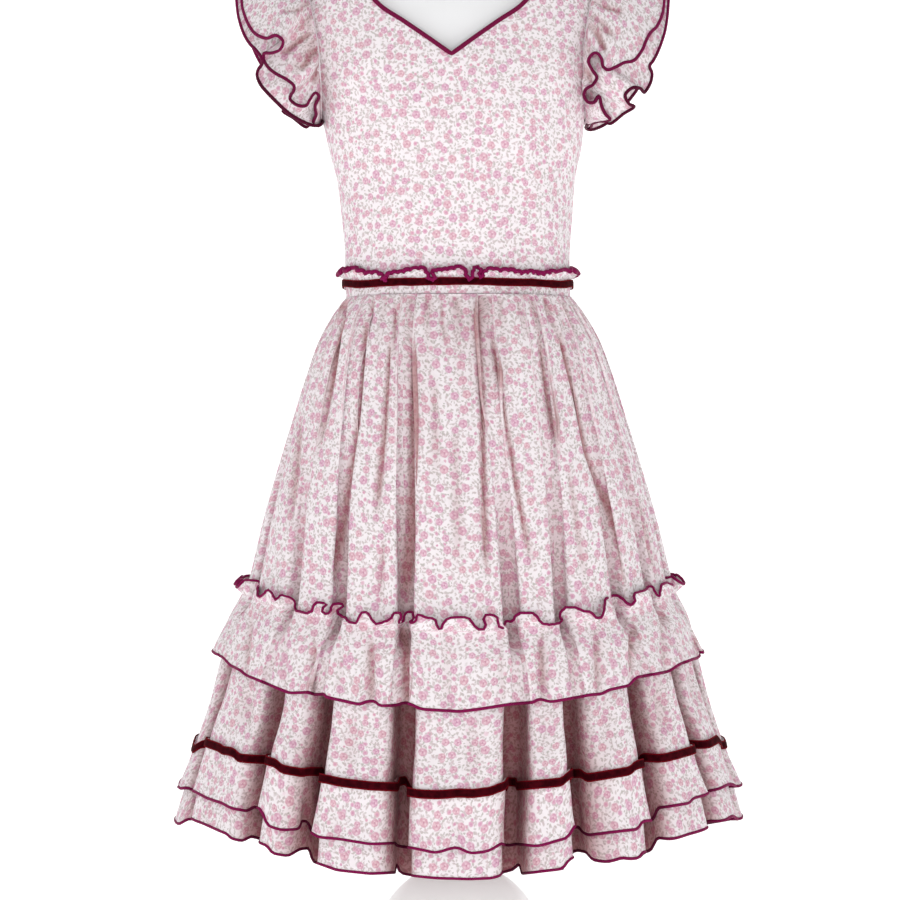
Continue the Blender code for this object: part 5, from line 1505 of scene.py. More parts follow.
def bodice_panel(name, table, back, halves, cols, low_rows, strap_rows, mats, seed):
    """One panel of one or two halves; two halves share the centre line."""
    z, ph, sr = half_panel(table, cols, low_rows, strap_rows)
    rows = len(z)
    inset = (GAP + 0.1) / 2 / 90.0
    arm_z, arm_p = arm_track(ARMHOLE[0][0], np.linspace(0, 1, 240))
    verts, uvs, quads, bake, painted_pucker_shade = [], [], [], [], []
    shared = {}
    count = 0
    for h, sgn in enumerate(halves):
        f = np.minimum(ph, math.pi / 2 - inset)
        angle = (math.pi - f if back else f) * sgn
        pts = body_point(z, angle)
        arc = np.concatenate([np.zeros((rows, 1)), np.cumsum(
            np.linalg.norm(np.diff(pts, axis=1), axis=-1), 1)], 1)
        start = np.zeros(rows)
        # arc from the middle out to the row's first column
        for k in range(sr):
            steps = body_point(np.full(24, z[k, 0]), np.linspace(
                sgn * math.pi if back else 0.0, angle[k, 0], 24))
            start[k] = np.linalg.norm(np.diff(steps, axis=0), axis=1).sum()
        signed = sgn * (start[:, None] + arc)
        # puckers beside the armhole
        dist = np.full(z.shape, 99.0)
        qz = z[..., None] - arm_z
        qp = (ph[..., None] - arm_p) * 110.0
        dd = np.hypot(qz, qp)
        dist = dd.min(-1)
        along = np.argmin(dd, -1) / 240.0
        puck = 1.5 * gathers(along, 26, seed + 9, 0.04) * np.exp(-dist / 9.0) \
            * fade(z, 828.0, 840.0)
        amount = wrinkle(z, signed / 110.0 + (7.0 if back else 0.0), seed) * 0.8 + puck
        edge = np.minimum(fade(arc, 0.0, 9.0) if back else np.where(
            np.arange(rows)[:, None] < sr, fade(arc, 0.0, 9.0), 1.0), 1.0)
        near_side = fade(arc[:, -1:] - arc, 0.0, 6.0)
        eps = 1e-3
        nrm = unit(np.cross(body_point(z, angle + eps) - body_point(z, angle - eps),
                            body_point(z + 0.5, angle) - body_point(z - 0.5, angle)))
        amount = amount * edge * (0.35 + 0.65 * near_side)
        pts = pts + nrm * amount[..., None]
        if len(halves) == 1:
            pts[sr:, 0, 0] += sgn * (GAP / 2)
        idx = np.arange(rows * (cols + 1)).reshape(rows, cols + 1) + count
        if h == 1:
            idx = idx.copy()
            idx[sr:, 0] = shared["col"]
        else:
            shared["col"] = idx[sr:, 0]
        verts.append(pts.reshape(-1, 3))
        # painted shade in the puckers beside the armhole
        painted_pucker_shade.append(np.clip(-puck / 1.6 - 0.1, 0, 0.6).ravel())
        uvs.append((np.stack([signed, z], -1) * MM + (0.9 if back else 0.0)).reshape(-1, 2))
        count += rows * (cols + 1)
        q = np.stack([idx[:-1, :-1], idx[1:, :-1], idx[1:, 1:], idx[:-1, 1:]], -1)
        b = bands(rows - 1, cols, 1, 0.03, 0.5, 0.004 + 0.5 * h, 0.496 + 0.5 * h)
        flip = (sgn < 0) != back
        if flip:
            q, b = q[..., ::-1], b[..., ::-1, :]
        quads.append(q.reshape(-1, 4))
        bake.append(b.reshape(-1, 4, 2))
    verts, uvs = np.concatenate(verts), np.concatenate(uvs)
    quads, bake = np.concatenate(quads), np.concatenate(bake)
    used = np.unique(quads)
    new = np.full(len(verts), -1)
    new[used] = np.arange(len(used))
    return patch_shell(name, verts[used], new[quads], uvs[used], bake, mats, 0.6,
                       np.concatenate(painted_pucker_shade)[used])


front = ride(bodice_panel("bodice_front_panel", V_NECK, False, (1, -1), 82, 80, 46,
                          [PRINT, WRONG], 111), "printed_cotton", "bodice_front")
back_l = ride(bodice_panel("bodice_back_left_panel", BACK_NECK, True, (1,), 70, 84, 24,
                           [PRINT, WRONG], 121), "printed_cotton", "bodice_back_left")
back_r = ride(bodice_panel("bodice_back_right_panel", BACK_NECK, True, (-1,), 70, 84, 24,
                           [PRINT, WRONG], 131), "printed_cotton", "bodice_back_right")

# ---- neck binding
t = np.linspace(0, 1, 130)
fz, fp = neck_track(V_NECK, t)
bz, bp = neck_track(BACK_NECK, t)
right = np.concatenate([body_point(bz, math.pi - bp), body_point(fz, fp)[::-1][1:]])
zz = np.concatenate([bz, fz[::-1][1:]])
pp = np.concatenate([math.pi - bp, fp[::-1][1:]])
left = right[::-1][1:].copy()
left[:, 0] = 2 * mono(BODY, left[:, 2], 4) - left[:, 0]
path = np.concatenate([right, left])
eps = 1e-3
nrm = unit(np.cross(body_point(zz, pp + eps) - body_point(zz, pp - eps),
                    body_point(zz + 0.5, pp) - body_point(zz - 0.5, pp)))
nrm_l = nrm[::-1][1:] * np.array((-1.0, 1.0, 1.0))
nrm = np.concatenate([nrm, nrm_l])
nrm = unit(blur_cols(nrm, 3.0, 0, False))
run = np.concatenate([[0.0], np.cumsum(np.linalg.norm(np.diff(path, axis=0), axis=1))])
at = np.linspace(0, run[-1], 420)
path = np.stack([np.interp(at, run, path[:, k]) for k in range(3)], -1)
nrm = unit(np.stack([np.interp(at, run, nrm[:, k]) for k in range(3)], -1))
tang = unit(np.gradient(path, axis=0))
across = unit(np.cross(nrm, tang))
centre = np.array((-8.5, 8.0, 1030.0))
across *= np.sign(((path - centre) * across).sum(-1))[:, None]
across = unit(blur_cols(across, 1.5, 0, False))
profile = [(-0.6, -0.5), (-0.75, 0.35), (-0.2, 0.95), (0.9, 1.2), (2.2, 1.15), (3.3, 0.85),
           (3.7, 0.3), (3.5, 0.02), (1.6, 0.02), (0.2, -0.05)]
k = len(profile)
pts = np.stack([path + across * a + nrm * (b * 0.95 + 0.25) for a, b in profile], 0)
pts = np.concatenate([pts, pts[:1]])
ob_p = pts[:-1].transpose(1, 0, 2)
m = len(path)
i, s = np.meshgrid(np.arange(m - 1), np.arange(k), indexing="ij")
s2 = (s + 1) % k
quad = np.stack([i * k + s, i * k + s2, (i + 1) * k + s2, (i + 1) * k + s], -1)
run = at * MM
girth = np.linspace(0, 10.0, k + 1) * MM
cl = np.stack([np.stack([run[i], girth[s]], -1), np.stack([run[i], girth[s + 1]], -1),
               np.stack([run[i + 1], girth[s + 1]], -1),
               np.stack([run[i + 1], girth[s]], -1)], -2)
bk = bands(k, m - 1, 10, 0.06, 0.998).transpose(1, 0, 2, 3)
fans, tu, tb = [], [], []
for e, row in enumerate((0, m - 1)):
    mid = len(ob_p.reshape(-1, 3)) + e
    for q in range(k):
        fans.append([row * k + q, row * k + (q + 1) % k, mid])
        a0, a1 = 2 * math.pi * q / k, 2 * math.pi * (q + 1) / k
        cc = np.array([[math.cos(a0), math.sin(a0)], [math.cos(a1), math.sin(a1)], [0, 0]])
        tu.append(cc * 0.001)
        tb.append(np.array([0.03 + 0.06 * e, 0.03]) + 0.02 * cc)
verts = np.concatenate([ob_p.reshape(-1, 3), ob_p[0].mean(0)[None], ob_p[-1].mean(0)[None]])
binding = new_mesh("neck_binding_strip", verts, quad.reshape(-1, 4), np.array(fans),
                   {"cloth": cl.reshape(-1, 4, 2), "OFBake": bk.reshape(-1, 4, 2)},
                   {"cloth": np.array(tu), "OFBake": np.array(tb)}, [BIND], smooth=60.0)
ride(outward_faces(binding), "plum_binding", "neck_binding")


# ------------------------------------------------------------- waist trimmings
def waist_loop(z, grow, phi):
    zz = z + 3.0 * np.sin(phi) ** 2
    q = body_point(np.minimum(zz, 690.0), phi, grow)
    q[..., 2] = zz
    return q


WN = 760
phi = np.linspace(-math.pi + 0.002, math.pi - 0.002, WN)
c = np.linspace(0, 1, WN)
wave = 0.25 * noise(c, 60, 141)
flat_rows = [waist_loop(z, 1.8 + wave, phi) for z in (668.0, 664.8, 661.6, 658.5)]
seam = flat_rows[0]
out = unit(np.stack([seam[:, 0] + 1.0, seam[:, 1] * 1.4, 0 * seam[:, 0]], -1))
flow = unit(np.gradient(seam, axis=0))
step = np.concatenate([[0.0], np.cumsum(np.linalg.norm(np.diff(seam, axis=0), axis=1))])
cells = int(step[-1] / 21.0)
cc = step / step[-1]
psi = 2 * math.pi * (cells * cc + 1.0 * noise(cc, int(cells * 0.8), 142)
                     + 0.7 * noise(cc, 7, 143))
ends = fade(cc, 0.0, 0.01) * fade(cc, 1.0, 0.99)
tall = 8.6 * (1 + 0.2 * noise(cc, 60, 144)) * (0.6 + 0.4 * ends)
lean = np.radians(24.0 + 50.0 * np.cos(psi)) * ends
side = (3.4 * np.sin(2 * psi) - 1.8 * np.sin(psi) * noise(cc, 30, 145)) * ends
edge = seam + flow * side[:, None] + out * (1.2 + 0.7 * tall * np.sin(
    np.maximum(lean, 0.02)) ** 2)[:, None]
edge[:, 2] = seam[:, 2] + tall * np.cos(lean * 0.85)
edge = seen_edge(edge, seam, seam, out, LINE_FRILL, 9.0, -4.8, 0.8)
rows = []
for s in np.linspace(1, 0, 8)[:-1]:
    q = seam + (edge - seam) * np.array((s ** 1.1, s ** 1.1, s ** 0.92))
    rows.append(q + out * (1.0 * 4 * s * (1 - s)))
p = np.array(rows + flat_rows)
plain_p = np.array([seam + np.array((0.0, 0.0, 9.0)) * s
                    for s in np.linspace(1, 0, 8)[:-1]] + flat_rows)
frill = ride(shell("waist_frill_strip", p, strip_uv(plain_p, False) + np.array([0.3, 0.2]),
                   [PRINT, WRONG], False), "printed_cotton", "waist_frill")
frill_edge = edge_cord("waist_frill_edge", p[0], normals(p, False)[0], 2.0, None, False)
g = 1.8 + GAP + 1.1 + 0.35 * (1 - (2 * np.linspace(0, 1, 5) - 1) ** 4)
mid = 662.2 - 2.2 * np.minimum(1.0, (phi / 0.8) ** 2) * (np.abs(phi) < 1.4) \
    * fade(np.abs(phi), 1.4, 1.0) + 0.35 * noise(c, 40, 152)
tape = 3.9 * (1 + 0.05 * noise(c, 70, 153))
p = np.array([waist_loop(mid + tape * v, gg + 0.3 * noise(c, 44, 151), phi)
              for v, gg in zip(np.linspace(1, -1, 5), g)])
uv = strip_uv(p, False)
uv[..., 1] = (VELVET_W * MM) * (1 - np.linspace(0, 1, 5))[:, None]
ribbon_1 = ride(shell("waist_ribbon_velvet", p, uv, [VELVET], False, 0.8),
                "velvet_ribbon", "waist_ribbon")

# --------------------------------------------------------------------- sleeves
# free edges, shoulder top to underarm by way of the front (x, y, z)
EDGE_RIGHT_UPPER = (
    (-212.5, -6, 960.8), (-211.0, -28, 934.7), (-208.3, -36, 924.3), (-202.5, -46, 910.2),
    (-196.2, -54, 901.5), (-185.8, -63, 896.0), (-176.7, -72, 897.3), (-169.5, -77, 890.6),
    (-172.6, -75, 883.3), (-182.0, -66, 881.9), (-190.1, -55, 884.2), (-191.3, -51, 880.5),
    (-186.8, -60, 871.2), (-178.9, -68, 863.6), (-168.8, -73, 857.4), (-162.3, -75, 851.3),
    (-163.2, -71, 847.1), (-166.8, -60, 845.9), (-168.6, -55, 843.2), (-162.8, -62, 837.8),
    (-153.0, -70, 838.0), (-147.3, -77, 845.2), (-140.4, -79, 852.0), (-136.2, -76, 848.6),
    (-140.2, -66, 840.6), (-140.0, -52, 834.4), (-143.6, -40, 827.3), (-139.9, -20, 826.2))
EDGE_RIGHT_UNDER = (
    (-222.6, -4, 961.2), (-220.0, -22, 937.8), (-216.6, -34, 922.7), (-210.8, -44, 907.2),
    (-204.5, -52, 896.9), (-198.3, -57, 890.2), (-193.3, -58, 883.2), (-193.0, -50, 877.7),
    (-197.4, -44, 872.8), (-198.6, -42, 868.2), (-195.1, -48, 858.8), (-188.1, -54, 849.7),
    (-177.3, -57, 838.5), (-169.0, -57, 830.7), (-160.5, -56, 824.8), (-151.0, -50, 820.5),
    (-143.0, -42, 818.6), (-137.5, -35, 820.2), (-135.5, -20, 825.0))
EDGE_LEFT_UPPER = (
    (200.7, -8, 960.4), (198.7, -30, 932.0), (195.4, -40, 919.7), (190.5, -48, 909.4),
    (184.2, -56, 902.1), (179.8, -62, 893.2), (176.6, -66, 884.8), (168.4, -71, 873.7),
    (159.5, -74, 871.3), (152.1, -76, 867.2), (144.0, -74, 864.3), (140.3, -71, 868.4),
    (139.4, -74, 874.7), (135.1, -77, 880.0), (130.3, -76, 879.2), (127.4, -72, 874.1),
    (131.8, -67, 867.1), (137.1, -60, 861.7), (133.6, -63, 855.6), (126.4, -68, 850.9),
    (124.5, -67, 846.2), (128.2, -65, 841.1), (134.2, -63, 842.0), (138.4, -61, 849.4),
    (140.5, -60, 841.0), (144.5, -57, 833.5), (149.0, -52, 829.5), (146.0, -43, 829.0),
    (139.5, -33, 829.5), (134.0, -17, 829.0))
EDGE_LEFT_UNDER = (
    (209.6, -4, 961.2), (206.0, -26, 928.6), (202.2, -36, 910.6), (195.1, -44, 891.1),
    (189.8, -48, 881.0), (186.6, -46, 876.4), (189.4, -42, 869.5), (187.6, -44, 860.1),
    (181.4, -50, 850.3), (176.1, -60, 852.7), (168.0, -64, 852.1), (161.3, -62, 845.6),
    (165.7, -56, 837.7), (171.1, -50, 835.6), (161.4, -48, 829.6), (147.1, -42, 820.1),
    (142.8, -34, 829.1), (139.5, -24, 828.6), (132.4, -10, 827.6))


def closed_spline(points, count, share=None):
    """Closed smooth curve through points (centripetal), sixteen points to each span."""
    q = np.asarray(points, float)
    n = len(q)
    dense = []
    for i in range(n):
        p0, p1, p2, p3 = (q[(i + k) % n] for k in (-1, 0, 1, 2))
        t0 = 0.0
        t1 = t0 + max(1e-6, np.linalg.norm(p1 - p0)) ** 0.5
        t2 = t1 + max(1e-6, np.linalg.norm(p2 - p1)) ** 0.5
        t3 = t2 + max(1e-6, np.linalg.norm(p3 - p2)) ** 0.5
        t = np.linspace(t1, t2, 17)[:-1][:, None]
        a1 = (t1 - t) / (t1 - t0) * p0 + (t - t0) / (t1 - t0) * p1
        a2 = (t2 - t) / (t2 - t1) * p1 + (t - t1) / (t2 - t1) * p2
        a3 = (t3 - t) / (t3 - t2) * p2 + (t - t2) / (t3 - t2) * p3
        b1 = (t2 - t) / (t2 - t0) * a1 + (t - t0) / (t2 - t0) * a2
        b2 = (t3 - t) / (t3 - t1) * a2 + (t - t1) / (t3 - t1) * a3
        dense.append((t2 - t) / (t2 - t1) * b1 + (t - t1) / (t2 - t1) * b2)
    return np.concatenate(dense)


def resample_halves(loop, mid_index, count):
    """Evenly spaced points whose first half runs from the loop's start to the
    point at mid_index, and the second half back to the start."""
    out = []
    for part in (loop[:mid_index + 1], np.concatenate([loop[mid_index:], loop[:1]])):
        run = np.concatenate([[0.0], np.cumsum(np.linalg.norm(np.diff(part, axis=0), axis=1))])
        at = np.linspace(0, run[-1], count // 2 + 1)[:-1]
        out.append(np.stack([np.interp(at, run, part[:, k]) for k in range(3)], -1))
    return np.concatenate(out)


def armhole(count):
    """Armhole on the +X side: shoulder, front, underarm, back."""
    t = np.linspace(1, 0, 200)
    z, ph = arm_track(ARMHOLE[0][0], t)
    f = body_point(z, ph)
    b = body_point(z[::-1], math.pi - ph[::-1])
    loop = np.concatenate([f, b[1:-1]])
    return resample_halves(loop, len(f) - 1, count)


def free_edge(front, rear, side, count, stretch, shift):
    """Closed free edge: front points, then the other sleeve's front pattern
    turned to the back and slightly changed."""
    f = np.array(front, float)
    b = np.array(rear, float)[::-1].copy()
    b[:, 0] = -b[:, 0] * stretch + side * shift
    b[:, 1] = -b[:, 1] * 0.97 + 12.0
    b[:, 2] = b[:, 2] + 6.0 + 8.0 * np.sin(np.linspace(0, 3.1, len(b)))
    keep = b[1:-1]
    pts = np.concatenate([f, keep])
    dense = closed_spline(pts, count)
    return resample_halves(dense, 16 * (len(f) - 1), count)


def near_lines(p, lines):
    """Troughs along any seen line: (points, depth, half width)."""
    px, py, _ = seen(p)
    at = np.stack([px, py], -1)
    out = np.zeros(px.shape)
    for pts, depth, w in lines:
        q = np.array(pts, float)
        best = np.full(px.shape, 1e9)
        share = np.zeros(px.shape)
        run = np.concatenate([[0.0], np.cumsum(np.linalg.norm(np.diff(q, axis=0), axis=1))])
        for a, b, r0 in zip(q[:-1], q[1:], run[:-1]):
            v = b - a
            t = np.clip(((at - a) @ v) / (v @ v), 0, 1)
            dist = np.linalg.norm(at - a - t[..., None] * v, axis=-1)
            share = np.where(dist < best, (r0 + t * np.linalg.norm(v)) / run[-1], share)
            best = np.minimum(best, dist)
        size = np.minimum(fade(share, 0.0, 0.22), fade(share, 1.0, 0.8)) * 0.85 + 0.15
        out -= depth * size * np.exp(-(best / w) ** 2)
    return out * fade(-p[..., 1], -10.0, 15.0)


SLEEVE_LINES = (
    (((314, 30), (305, 36), (294, 44), (282, 55)), 4.6, 3.0),
    (((322, 47), (311, 53), (306.5, 63), (299, 70)), 3.8, 3.2),
    (((281, 11), (301.5, 9)), 2.4, 1.6), (((318, 12), (304, 20), (296, 30)), 1.8, 3.0),
    (((326, 60), (318, 72), (314, 86)), 3.0, 3.4), (((328, 82), (322, 96), (318, 108)), 2.6, 3.0),
    (((320, 38), (300, 58), (290, 72)), 1.6, 4.0),
    (((600, 5), (612, 8), (624, 11)), 3.0, 2.2), (((593, 29), (598, 33), (601.5, 42),
                                                  (605.7, 51)), 4.2, 3.0),
    (((590, 14), (603, 22), (612, 34)), 2.4, 2.8), (((586, 44), (591, 56), (594, 66)), 2.6, 2.8),
    (((585, 66), (590, 82), (596, 92)), 2.6, 3.0), (((604, 74), (610, 90), (616, 104)), 3.2, 4.0),
    (((588, 22), (604, 30), (618, 36)), 1.6, 3.0),
)


def sleeve(name, side, edge, upper, seed, nodes, cols=350, rows_n=22):
    start = armhole(cols)
    if side < 0:
        start[:, 0] = 2 * mono(BODY, np.minimum(start[:, 2], 980.0), 4) - start[:, 0]
    tau = np.arange(cols) / cols
    mid = start.mean(0)
    w = start - mid
    w[:, 0] = 0.0
    w = unit(blur_cols(unit(w)[None], 6.0)[0])
    base = start + np.array((side * 1.0, 0.0, 0.0)) + w * (0.5 + (1.1 if upper else 0.0))
    calm = blur_cols(edge[None], cols * 0.022)[0]
    span = np.linalg.norm(calm - base, axis=1)
    room = np.minimum(1.0, span / 60.0)
    axis = unit(calm - base)
    nrm = unit(w - axis * (w * axis).sum(1, keepdims=True))
    nrm = unit(blur_cols(nrm[None], 5.0)[0])
    q = np.linspace(0, 1, rows_n) ** 0.92
    out, dark = [], []
    for s in q:
        pt = base * (1 - s) + calm * s + (edge - calm) * s ** 1.6
        bulge = 9.5 * math.sin(math.pi * s ** 0.72) ** 1.15 * room
        lift = (1.4 + 5.4 * s * np.minimum(1.0, span / 32.0)) if upper else 0.0
        d = s * span
        puck = 2.2 * gathers(tau, 46, seed, 0.04) * np.exp(-d / 10.0) * fade(s, 0.0, 0.05) \
            + 3.0 * gathers(tau, 24, seed + 1, 0.04) * np.exp(-d / 34.0) * fade(s, 0.0, 0.08)
        soft = 1.5 * noise(tau + 0.02 * s, 19, seed + 2) * 4 * s * (1 - s)
        out.append(pt + nrm * (bulge + lift + puck * room + soft)[:, None])
        # painted shade in the puckers at the armhole
        dark.append(np.clip(-puck * np.sqrt(room) / 2.7 - 0.1, 0, 1))
    p = np.array(out)
    if upper:
        away = np.maximum(0.25, 1.0 - np.linspace(0, 1, rows_n)[:, None] ** 6)
        line = near_lines(p, SLEEVE_LINES) * away
        p = p + nrm[None] * line[..., None]
        # painted shade along the sleeve's crease lines
        dark = np.array(dark) + np.clip(-line / 4.2, 0, 0.8)
    dark = np.clip(np.array(dark), 0, 0.85)
    run = np.concatenate([np.zeros((rows_n, 1)), np.cumsum(np.linalg.norm(
        np.diff(np.concatenate([p, p[:, :1]], 1), axis=1), axis=-1), 1)], 1)
    mean = run[rows_n * 2 // 3]
    drop = np.concatenate([np.zeros((1, cols)), np.cumsum(
        np.linalg.norm(np.diff(p, axis=0), axis=-1), 0)], 0)
    drop = np.concatenate([drop, drop[:, :1]], 1)
    uv = np.stack([np.repeat(mean[None], rows_n, 0), -drop + 200.0 + 90.0 * (side > 0)
                   + 45.0 * upper], -1) * MM
    if side > 0:
        # columns run shoulder, front, underarm: turn them to face outward
        p, uv, dark = p[:, ::-1], uv[:, ::-1], dark[:, ::-1]
    ob = shell(name, p, uv, [PRINT, WRONG], True, 0.5, dark)
    ride(ob, "printed_cotton", *nodes)
    nr = normals(p, True)[-1]
    # painted shade: the edge cord darkens toward its lower end, where it hangs in shade
    cord = edge_cord(name + "_edge", p[-1], nr, 1.6, painted_shade=fade(
        p[-1][:, 2], 935.0, 850.0) * (0.55 if upper else 0.95))
    return ob, cord


COLS = 350
pieces = {}
for tag, side, fr, re, stretch, shift in (
        ("right_under", -1, EDGE_RIGHT_UNDER, EDGE_LEFT_UNDER, 1.055, 0.0),
        ("right_upper", -1, EDGE_RIGHT_UPPER, EDGE_LEFT_UPPER, 1.055, 0.0),
        ("left_under", 1, EDGE_LEFT_UNDER, EDGE_RIGHT_UNDER, 0.945, 0.0),
        ("left_upper", 1, EDGE_LEFT_UPPER, EDGE_RIGHT_UPPER, 0.945, 0.0)):
    e = free_edge(fr, re, side, COLS, stretch, shift)
    pieces[tag] = sleeve("sleeve_" + tag + "_flounce", side, e, "upper" in tag,
                         200 + 10 * len(pieces), ["sleeve_" + tag], COLS)

# ------------------------------------------------------------------------ form
FORM_ROWS = ((FORM_BOTTOM, 12.0), (506.0, 6.0), (560.0, 6.0), (620.0, 6.0), (664.0, 5.0),
             (700.0, 0.5), (765.0, 0.5), (800.0, 1.0), (832.0, 2.5), (848.0, 6.0),
             (862.0, 7.0), (900.0, 4.5), (935.0, 4.0), (955.0, 3.5), (966.0, 2.5),
             (973.0, 1.5), (981.0, 1.5), (990.0, 1.5), (999.0, 1.5))
NECK_ROWS = ((1012.0, 51.0), (1024.0, 48.0), (1040.0, 48.0))
FORM_CLEAR, SHOULDER_DROP = 4.0, 10.5
FN = 112
fphi = 2 * math.pi * np.arange(FN) / FN
stack = []
for z, extra in FORM_ROWS:
    drop = SHOULDER_DROP * min(1.0, max(0.0, (z - 935.0) / 40.0))
    r = body_point(np.full(FN, z + drop), fphi, -CLOTH - FORM_CLEAR - extra)
    r[:, 2] = z
    stack.append(r)
fx, fy = float(mono(BODY, 1012.0, 4)), float(mono(BODY, 1012.0, 5))
for z, r in NECK_ROWS:
    stack.append(np.stack([fx + r * np.sin(fphi), fy - r * np.cos(fphi),
                           np.full(FN, z)], -1))
stack = np.array(stack)
idx = np.concatenate([[0.0], np.cumsum([np.linalg.norm(a - b, axis=1).mean()
                                        for a, b in zip(stack[1:], stack[:-1])])])
at = np.linspace(0, idx[-1], 84)
at = np.unique(np.concatenate([at, idx]))
rows = pchip(idx, stack, at)
FR = len(rows)
verts = rows.reshape(-1, 3)
i, j = np.meshgrid(np.arange(FR - 1), np.arange(FN), indexing="ij")
k = (j + 1) % FN
quad = np.stack([i * FN + j, i * FN + k, (i + 1) * FN + k, (i + 1) * FN + j], -1)
arc = 2 * math.pi * 110.0 / FN * MM
cl = np.stack([np.stack([j * arc, at[i] * MM], -1), np.stack([(j + 1) * arc, at[i] * MM], -1),
               np.stack([(j + 1) * arc, at[i + 1] * MM], -1),
               np.stack([j * arc, at[i + 1] * MM], -1)], -2)
bk = bands(FR - 1, FN, 1, 0.3, 0.998)
bk = np.stack([bk[..., 0, :], bk[..., 3, :], bk[..., 2, :], bk[..., 1, :]], -2)
fans, tu, tb = [], [], []
for e, row in enumerate((0, FR - 1)):
    mid = len(verts)
    verts = np.concatenate([verts, rows[row].mean(0)[None]])
    rim = (rows[row] - rows[row].mean(0))[:, :2] * MM
    size = np.abs(rim).max()
    for q in range(FN):
        a, b = q, (q + 1) % FN
        if e == 0:
            a, b = b, a
        fans.append([row * FN + a, row * FN + b, mid])
        tu.append(np.array([rim[a], rim[b], [0, 0]]))
        tb.append(np.array([0.15 + 0.3 * e, 0.15])
                  + 0.13 / size * np.array([rim[a], rim[b], [0, 0]]))
torso = new_mesh("form_body", verts, quad.reshape(-1, 4), np.array(fans),
                 {"cloth": cl.reshape(-1, 4, 2), "OFBake": bk.reshape(-1, 4, 2)},
                 {"cloth": np.array(tu), "OFBake": np.array(tb)}, [WHITE], smooth=50.0)
ride(outward_faces(torso), "form_cover", "form_torso")

cap = turned("form_cap_disc", [(0.0, 1040.3), (46.4, 1040.3), (47.0, 1040.9), (47.0, 1047.5),
                               (46.6, 1049.3), (45.4, 1050.9), (43.6, 1051.8), (41.5, NECK_TOP),
                               (9.0, NECK_TOP), (0.0, NECK_TOP)], [CAP], 128, (fx, fy))
ride(outward_faces(cap), "form_cap", "form_neck_cap")
pole = turned("form_pole_tube", [(0.0, PLATE_T + 4.0), (POLE_R, PLATE_T + 4.0),
                                 (POLE_R, 200.0), (POLE_R, 350.0),
                                 (POLE_R, FORM_BOTTOM - GAP), (0.0, FORM_BOTTOM - GAP)],
              [TUBE], 64)
ride(outward_faces(pole), "form_pole", "form_pole")
bore = POLE_R + GAP
top = DOME_Z + math.sqrt(DOME_R ** 2 - SOCKET_R ** 2) - 6.0
sock = turned("pole_socket_collar", [
    (bore, PLATE_T + GAP), (SOCKET_R, PLATE_T + GAP), (SOCKET_R, PLATE_T + 10.0),
    (SOCKET_R - 1.0, PLATE_T + 11.0), (SOCKET_R - 1.0, top - 8.0), (SOCKET_R, top - 7.0),
    (SOCKET_R, top - 1.2), (SOCKET_R - 1.2, top), (bore + 0.8, top), (bore, top - 0.8)],
    [SOCKET], 96)
ride(outward_faces(sock), "form_cap", "pole_socket")
wall, rim = 3.0, PLATE_T + GAP
a0 = math.asin((rim - DOME_Z) / DOME_R)
a1 = math.acos((bore + 0.2) / DOME_R)
outer = [(DOME_R * math.cos(a), DOME_Z + DOME_R * math.sin(a))
         for a in np.linspace(a0, a1, 40)]
ri = DOME_R - wall
b0, b1 = math.asin((rim - DOME_Z) / ri), math.acos((bore + 0.2) / ri)
inner = [(ri * math.cos(a), DOME_Z + ri * math.sin(a)) for a in np.linspace(b0, b1, 40)]
dome = turned("dome_shell", outer + inner[::-1], [FROST_AND_PAINTED_GLOW], 112)
ride(outward_faces(dome), "dome_plastic", "dome_foot")
plate = turned("base_disc", [(0.0, 0.0), (PLATE_R - 1.6, 0.0), (PLATE_R - 0.5, 0.4),
                             (PLATE_R, 1.5), (PLATE_R, PLATE_T - 1.6),
                             (PLATE_R - 0.5, PLATE_T - 0.5), (PLATE_R - 1.6, PLATE_T),
                             (PLATE_R - 30.0, PLATE_T), (0.0, PLATE_T)], [PLATE], 160)
ride(outward_faces(plate), "plate_paint", "base_plate")

# ------------------------------------------------------------- carried-over CAD
for node, mat in (("zip_tape", TAPE), ("zip_slider", LACQUER), ("zip_pull", LACQUER)):
    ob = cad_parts[node]
    ob.data.materials.clear()
    ob.data.materials.append(mat)


# ----------------------------------------------------------- camera and lights
def add_camera():
    cam = bpy.data.cameras.new("camera")
    cam.lens, cam.sensor_width = LENS, 36.0
    cam.clip_end = 50.0
    ob = bpy.data.objects.new("camera", cam)
    ob.location = tuple(v * MM for v in CAM)
    ob.rotation_euler = (math.radians(90.0), 0.0, 0.0)
    bpy.context.scene.collection.objects.link(ob)
    bpy.context.scene.camera = ob


def area_light(name, place, target, size, power, colour=(1.0, 1.0, 1.0)):
    from mathutils import Vector
    light = bpy.data.lights.new(name, "AREA")
    light.shape = "DISK"
    light.size = size
    light.energy = power
    light.color = colour
    ob = bpy.data.objects.new(name, light)
    ob.location = place
    ob.rotation_euler = (Vector(target) - Vector(place)).to_track_quat("-Z", "Y").to_euler()
    bpy.context.scene.collection.objects.link(ob)


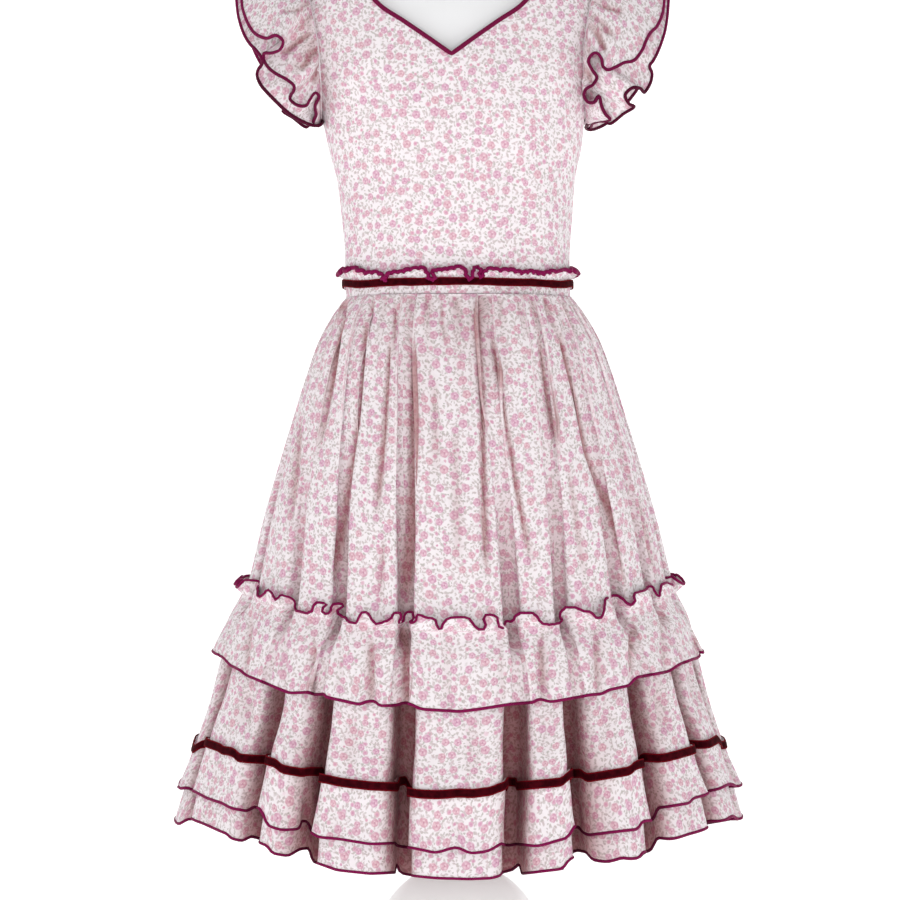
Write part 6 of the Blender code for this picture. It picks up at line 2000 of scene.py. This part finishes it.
def studio():
    verts, faces = [], []
    prof = [(-7.0, 0.0), (4.0, 0.0)]
    r = 1.6
    for a in np.linspace(0, math.pi / 2, 24)[1:]:
        prof.append((4.0 + r * math.sin(a), r - r * math.cos(a)))
    prof.append((4.0 + r, 7.0))
    for y, z in prof:
        verts += [(-9.0, y, z - 0.0004), (9.0, y, z - 0.0004)]
    for k in range(len(prof) - 1):
        faces.append((2 * k, 2 * k + 1, 2 * k + 3, 2 * k + 2))
    me = bpy.data.meshes.new("studio_sweep")
    me.from_pydata(verts, [], faces)
    for poly in me.polygons:
        poly.use_smooth = True
    ob = bpy.data.objects.new("studio_sweep", me)
    bpy.context.scene.collection.objects.link(ob)
    m, net, shader = blank("sweep", Roughness=0.9, Specular_IOR_Level=0.0)
    shader.inputs["Base Color"].default_value = (0.93, 0.93, 0.93, 1.0)
    shader.inputs["Emission Color"].default_value = (1.0, 1.0, 1.0, 1.0)
    shader.inputs["Emission Strength"].default_value = 0.56
    me.materials.append(m)
    world = bpy.data.worlds.new("soft_world")
    world.use_nodes = True
    bg = world.node_tree.nodes["Background"]
    bg.inputs["Color"].default_value = (1.0, 1.0, 1.0, 1.0)
    bg.inputs["Strength"].default_value = 0.52
    wt = world.node_tree
    ray = wt.nodes.new("ShaderNodeLightPath")
    lift = wt.nodes.new("ShaderNodeMapRange")
    wt.links.new(ray.outputs["Is Camera Ray"], lift.inputs["Value"])
    lift.inputs["To Min"].default_value = 0.5
    lift.inputs["To Max"].default_value = 1.0
    wt.links.new(lift.outputs["Result"], bg.inputs["Strength"])
    bpy.context.scene.world = world
    area_light("key", (-2.1, -4.2, 5.8), (0.0, 0.0, 0.3), 4.6, 40.0)
    area_light("fill", (2.2, -2.4, 0.5), (0.0, 0.0, 0.3), 2.4, 3.0)
    area_light("left", (-2.6, -1.1, 0.45), (0.0, 0.0, 0.3), 1.8, 8.0)
    area_light("right", (2.6, -1.1, 0.45), (0.0, 0.0, 0.3), 1.8, 7.0)
    area_light("low", (0.0, -2.0, 0.12), (0.0, 0.0, 0.16), 0.8, 9.5)
    area_light("top", (0.0, 0.4, 3.0), (0.0, 0.0, 0.5), 2.4, 4.2)
    bpy.context.scene.view_settings.view_transform = "Standard"


add_camera()
studio()
